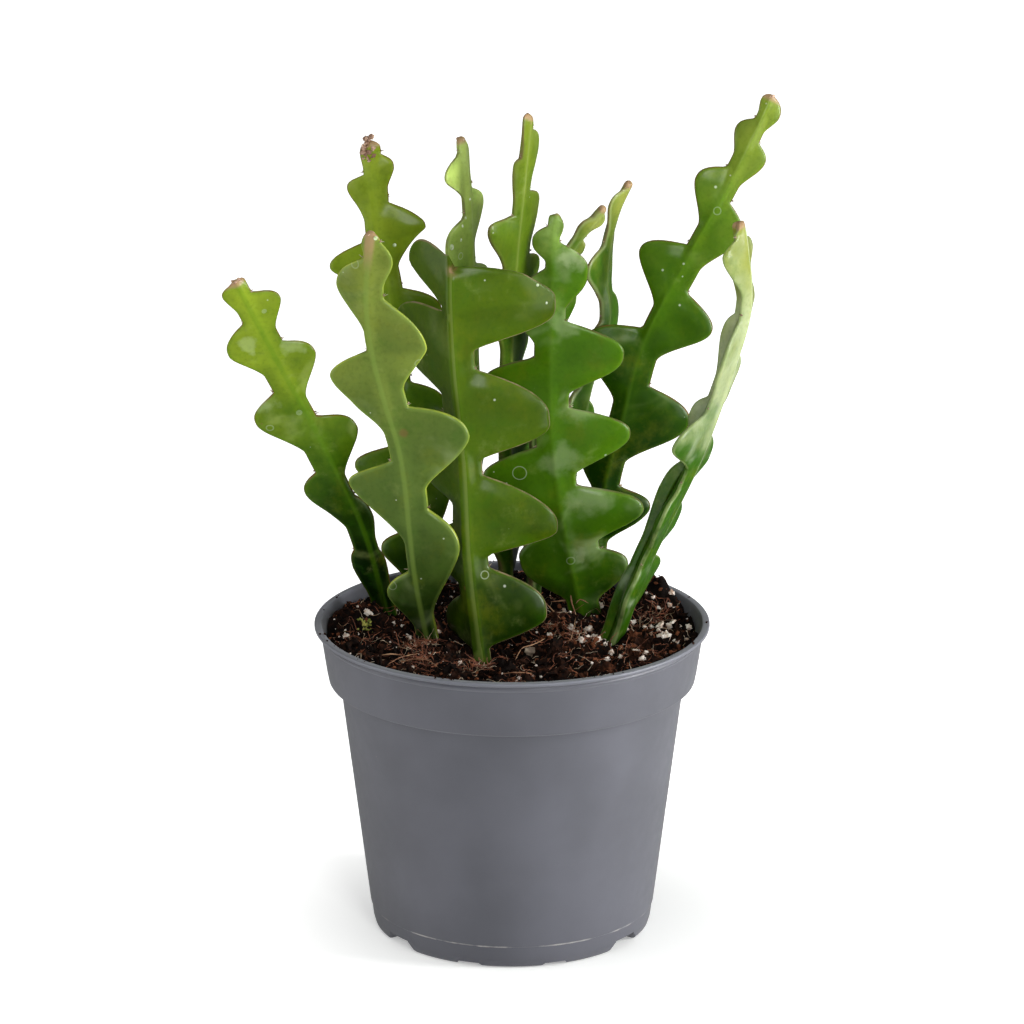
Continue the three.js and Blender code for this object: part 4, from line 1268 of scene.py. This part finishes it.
def tangled_spots(draw, count):
    """Places for fibres: some anywhere on the soil, then those of the tangles."""
    spots = [spot_on_soil(draw, CLEAR_OF_STEMS) for _ in range(count)]
    for x, y, spread, some in TANGLES:
        for _ in range(some * count // TANGLED_TO):
            spots.append((x + draw.gauss(0, spread / 2), y + draw.gauss(0, spread / 2)))
    return spots


def build_fibres():
    draw = random.Random(23)
    for name, material, count, radii, lengths, rises in FIBRES:
        parts = []
        for x, y in tangled_spots(draw, count):
            heading, length, rise = (draw.uniform(*span) for span in ((0, 2 * math.pi), lengths, rises))
            path = laid(curved_path(draw, (x, y, rough_soil_height(x, y)), heading, length, rise))
            path = [p for p in path if math.hypot(p.x, p.y) < SOIL_EDGE + 0.5]
            if len(path) > 3:
                parts.append(strand(path, draw.uniform(*radii)))
        strewn(name, parts, SLOTS["soil"], material)


build_fibres()

# The larger grains of perlite: x, y and radius.
PERLITE = [
    (27.5, 29, 1.1), (16, 25.5, 0.7), (7.5, 2.5, 0.4), (11.5, 0, 0.9), (18, 3.5, 1.1), (23.5, 9, 1.1),
    (22, -2.5, 0.6), (21, -7.5, 0.9), (27, -1, 1.6), (25, -0.5, 0.9), (29, -3, 1.2), (28, -5, 0.9),
    (30, -16, 0.8), (28.5, -20, 0.8), (32.5, -21.5, 0.7), (34, -5, 0.4), (35, 2.5, 0.7), (37, 13, 0.8),
    (40.5, 8, 0.7), (42.5, 9.5, 0.7), (42.5, 2.5, 0.7), (41.5, -7.5, 0.8), (45, 3, 0.9), (44.5, 1.5, 0.6),
    (46.5, -1.5, 1), (46, -4, 1.7), (48.5, 4, 1.3), (51.5, 10.5, 0.5), (50, -9.5, 0.7), (54, 7.5, 0.9),
    (37.5, -16.5, 0.9), (40.5, -17, 0.8), (39, -26, 0.8), (49, 25, 0.9), (48.5, 19, 0.7), (49.5, 17.5, 0.7),
    (45, 19, 0.7), (43.5, 22.5, 0.6), (41.5, 24.5, 0.4), (33.5, 7, 0.4), (-3, -37.5, 0.4), (2, -41, 0.6),
    (3.5, -24, 0.5), (-44, 12.5, 1), (-50.5, -2, 0.8), (-52.5, -4.5, 0.4), (-36, 5, 0.6), (-33.5, 6, 0.4),
    (-22.5, 5, 0.7), (-15, -2, 0.3), (-15.5, -27, 0.5), (-41, 25, 0.6), (-31, -3, 0.7), (-41, 1, 0.3),
]
CRUMBLED = (25.5, -5)         # where a large grain has crumbled
CRUMBLED_SPREAD = (1.1, 1.3)
CRUMBLED_BITS = 26
PERLITE_SPECKS = 260
SPECK_SIZES = (0.12, 0.48, 1.5)     # from, to, and how rare the large ones are


def build_perlite():
    draw = random.Random(37)
    parts = []
    for x, y, size in PERLITE:
        z = rough_soil_height(x, y) + size * 0.5
        parts.append(lump(draw, (x, y, z), size * 1.05, 0.5, 2 if size > 0.7 else 1))
    for _ in range(CRUMBLED_BITS):
        x, y = (c + draw.gauss(0, spread) for c, spread in zip(CRUMBLED, CRUMBLED_SPREAD))
        z = rough_soil_height(x, y) + draw.uniform(0, 1.8)
        parts.append(lump(draw, (x, y, z), draw.uniform(0.3, 0.9), 0.6, 1))
    for _ in range(PERLITE_SPECKS):
        size = skewed(draw, *SPECK_SIZES)
        x, y = spot_on_soil(draw, size)
        parts.append(lump(draw, (x, y, rough_soil_height(x, y) + size * 0.5), size, 0.4, 1))
    strewn("perlite_grains", parts, SLOTS["soil"], perlite_glass)


build_perlite()

MOSS_PLACE = (-45, 6)
MOSS_SPREAD = (0.9, 1.4)
MOSS_FLECKS = 60


def build_moss():
    draw = random.Random(41)
    parts = []
    for _ in range(MOSS_FLECKS):
        x, y = (c + draw.gauss(0, spread) for c, spread in zip(MOSS_PLACE, MOSS_SPREAD))
        z = rough_soil_height(x, y) + draw.uniform(0.2, 1.6)
        parts.append(lump(draw, (x, y, z), draw.uniform(0.2, 0.45), 0.4))
    strewn("moss_scrap", parts, SLOTS["soil"], moss_green)


build_moss()

# Single twigs and roots: their radius and the places that each goes through.
TWIGS = [
    (0.24, [(18.6, 22, 101), (18.2, 22, 96), (19.9, 20, 91)]),
    (0.18, [(19.6, 21, 95), (21, 20.5, 96.5), (23.5, 20, 95.5)]),
    (0.30, [(12, 26, 94), (17.8, 25.5, 94.6), (23, 26, 94)]),
    (0.20, [(9.7, 24, 95), (12.2, 20, 93.5), (15, 15, 92)]),
    (0.12, [(19.3, -2, 98), (18.3, -6, 94.5), (17, -10.5, 90)]),
    (0.16, [(1, -21, 91), (3, -17, 93.2), (6.5, -15.5, 94), (10, -11.5, 94.5)]),
    (0.22, [(-39, -27, 94.5), (-36, -27.5, 95), (-33, -27.5, 94.6)]),
    (0.14, [(-34, -31, 93), (-30.6, -30, 94), (-27, -30.5, 94.4), (-24, -32, 94), (-22, -34, 93)]),
    (0.16, [(-37, -33, 93.5), (-34, -30.5, 94.6), (-31, -27, 94.4), (-28, -24, 94)]),
    (0.16, [(-3, -40, 93), (1, -41, 93.8), (6, -40, 93.2)]),
]
TWIG_PIECES = 5               # pieces between two of a twig's places
PEBBLE = (5.5, -13, 1.3)      # x, y and radius


def build_twigs():
    parts = []
    for radius, places in TWIGS:
        parts.append(strand(laid(through(places, TWIG_PIECES), lift=0.1), radius, sides=5))
    strewn("dry_twigs", parts, SLOTS["soil"], twig)


def build_pebble():
    x, y, size = PEBBLE
    centre = (x, y, rough_soil_height(x, y) + 0.4 * size)
    strewn("pebble", [lump(random.Random(5), centre, size, 0.3, 2)], SLOTS["soil"], pebble)


build_twigs()
build_pebble()

# ------------------------------------------------------------------ areoles, tips and drops

PLANT_SLOT = "stem_green"     # the slot of what grows or lies on several stems
AREOLES_FROM = 3              # height above the soil from which notches have areoles
AREOLES_TO = 1.5              # how far below the tip they end
WOOL_TUFTS = 3                # on each areole


def areole_places(name, stem):
    """Each notch's place: the point on the edge, the way out and the way up."""
    places = []
    rows = ROWS[name]
    for side, (own, sign) in SIDE_WINGS.items():
        for notch_height, _ in stem[side][::2]:
            if not AREOLES_FROM < notch_height < rows[-1].length - AREOLES_TO:
                continue
            row = min(rows, key=lambda r: abs(r.height - notch_height))
            bend = math.radians(between(stem["fold"][own], row.share))
            reach = wing_at(stem[side], row.height, stem["flank"], stem["crown"])[0]
            outward = row.across * sign * math.cos(bend) - row.out * math.sin(bend)
            lift = row.along * reach * stem["rise"][own] * row.share ** 4
            places.append((row.centre + outward * reach + lift, outward, row.along))
    return places


def build_areoles():
    draw = random.Random(53)
    tufts, bristles = [], []
    for name, stem in STEMS.items():
        for point, outward, along in areole_places(name, stem):
            for _ in range(WOOL_TUFTS):
                jitter = Vector([draw.gauss(0, 0.2) for _ in range(3)])
                tufts.append(lump(draw, point + jitter + along * 0.2, draw.uniform(0.15, 0.34), 0.5))
            for _ in range(draw.randint(1, 3)):
                lean = Vector([draw.uniform(-0.6, 0.6) for _ in range(3)])
                direction = (outward + along * 0.5 + lean).normalized()
                length = draw.uniform(0.7, 1.5)
                path = [point + direction * length * t for t in (0, 0.35, 0.7, 1)]
                bristles.append(strand(path, 0.08, sides=3))
    strewn("areole_wool", tufts, PLANT_SLOT, wool)
    strewn("areole_bristles", bristles, PLANT_SLOT, bristle)


build_areoles()

BUD_SCALES = 7
KNOBS = 46


def build_tips():
    """Small dry scales round each growing tip, and a knobbly cluster on the one that was eaten."""
    draw = random.Random(67)
    parts = []
    for name, stem in STEMS.items():
        top = ROWS[name][-1]
        if stem["tip"] == "bud":
            for x, y in circle(1, BUD_SCALES):
                around = top.across * x + top.out * y
                place = top.centre - top.along * draw.uniform(0.2, 2.4) + around * draw.uniform(0.5, 1.1)
                parts.append(lump(draw, place, draw.uniform(0.25, 0.5), 0.45, 1))
        if stem["tip"] == "knob":
            for _ in range(KNOBS):
                place = top.centre + top.along * draw.uniform(-6, 1.2)
                place += top.across * draw.uniform(-2.6, 0.9)
                place += top.out * draw.uniform(-0.4, 1.6)
                parts.append(lump(draw, place, draw.uniform(0.35, 0.85), 0.4, 1))
    strewn("tip_scales", parts, PLANT_SLOT, bud_scale)


build_tips()

# Drops of water on the skin: their places, the way out from the skin, and their radius.
DROPS = [
    ((-35.7, 36.4, 204.7), (0.12, -0.99, -0.06), 0.5),
    ((-18.2, 23.4, 207.3), (0.71, -0.70, 0.02), 0.8),
    ((-14.9, 27.7, 212.8), (0.71, -0.70, 0.08), 0.4),
    ((-15.4, 26.8, 208.7), (0.77, -0.63, 0.07), 0.45),
    ((-14.0, 29.0, 215.0), (0.32, -0.85, 0.43), 0.35),
    ((-12.7, 30.1, 220.6), (0.68, -0.73, 0.03), 0.35),
    ((7.6, -2.4, 202.2), (0.43, -0.89, 0.13), 0.45),
    ((10.3, -2.1, 196.6), (0.47, -0.88, 0.08), 0.35),
    ((-39.6, -30.8, 223.5), (0.17, -0.94, -0.31), 0.6),
]
DROP_LENGTH = 1.2             # a drop hangs a little long and lies flat
DROP_DEPTH = 0.55


def build_drops():
    parts = []
    corners, faces = LUMPS[-1]
    for spot, way, radius in DROPS:
        turn = Vector(way).normalized().to_track_quat("Z", "Y").to_matrix()
        points = []
        for x, y, z in corners:
            shaped = Vector((x * radius, y * radius * DROP_LENGTH, z * radius * DROP_DEPTH))
            points.append(tuple(Vector(spot) + turn @ shaped))
        parts.append((points, faces))
    strewn("water_drops", parts, PLANT_SLOT, water)


build_drops()

# ------------------------------------------------------------------ floor and light

FLOOR_HALF = 4000
# The paper's glow is painted light; where it glows less beside the pot it is a painted shadow.
PAINTED_FLOOR_GLOW = (0.22, 0.75)         # how strongly it glows beside the pot and away from it
PAINTED_SHADOW_REACH = (0.02, 0.12)          # metres from there at which it starts to glow more, and is full
PAINTED_SHADOW_MIDDLE = (0.016, 0, 0)     # the place where it glows least, in metres


def glowing_paper_with_painted_shadow():
    """Evenly matt white paper with a painted glow, which is weaker where the pot stands as a painted
    shadow.
    """
    material, tree, place = new_material("white_paper")
    cloud = add(tree, "ShaderNodeTexNoise", Vector=place, Scale=per(3), Detail=2.0)
    tone = laid_on(tree, "#f1f3f0", "#f3f4f2", cloud, 0.2, 0.8)
    away = add(tree, "ShaderNodeVectorMath", place, PAINTED_SHADOW_MIDDLE, operation="DISTANCE")
    painted_glow = add(tree, "ShaderNodeMapRange", away, *PAINTED_SHADOW_REACH, *PAINTED_FLOOR_GLOW, interpolation_type="SMOOTHSTEP")
    return finished(material, Base_Color=tone, Roughness=0.95, Specular_IOR_Level=0.1,
                    Emission_Color="#ffffff", Emission_Strength=painted_glow)


def build_floor():
    corners = [(x * FLOOR_HALF, y * FLOOR_HALF, 0) for x, y in ((-1, -1), (1, -1), (1, 1), (-1, 1))]
    floor = mesh_object("floor", corners, [(0, 1, 2, 3)])
    floor.data.materials.append(glowing_paper_with_painted_shadow())
    floor.visible_glossy = False


build_floor()

AIM = (0, 0, 0.13)            # what the lights point at; it and their places are in metres


def light(name, kind, place, power, only_mirrored=False, **shape):
    """A light that shines from a place towards the pot, or a card that only shows in what is glossy."""
    data = bpy.data.lights.new(name, kind)
    data.energy = power
    for key, value in shape.items():
        setattr(data, key, value)
    made = bpy.data.objects.new(name, data)
    made.location = place
    made.visible_diffuse = not only_mirrored
    made.rotation_euler = (Vector(AIM) - Vector(place)).to_track_quat("-Z", "Y").to_euler()
    scene.collection.objects.link(made)


light("sky", "SUN", (0.3, -0.5, 2.0), 1.05, angle=math.radians(120))
light("right_box", "AREA", (1.25, -0.25, 0.40), 16, shape="RECTANGLE", size=0.35, size_y=0.7)
light("left_box", "AREA", (-1.25, -0.20, 0.60), 2, shape="RECTANGLE", size=0.35, size_y=0.7)
light("front_box", "AREA", (0.30, -1.15, 0.52), 4.8, shape="RECTANGLE", size=0.3, size_y=0.5)
light("left_card", "AREA", (-1.0, -0.3, 0.25), 5.0, True, shape="RECTANGLE", size=1.2, size_y=0.8)
light("right_card", "AREA", (1.0, -0.3, 0.25), 10.5, True, shape="RECTANGLE", size=1.2, size_y=0.8)

world = bpy.data.worlds.new("studio")
world.use_nodes = True
world.node_tree.nodes["Background"].inputs["Color"].default_value = linear("#ffffff")
world.node_tree.nodes["Background"].inputs["Strength"].default_value = 0.12
scene.world = world
scene.view_settings.view_transform = "Standard"
scene.view_settings.look = "None"
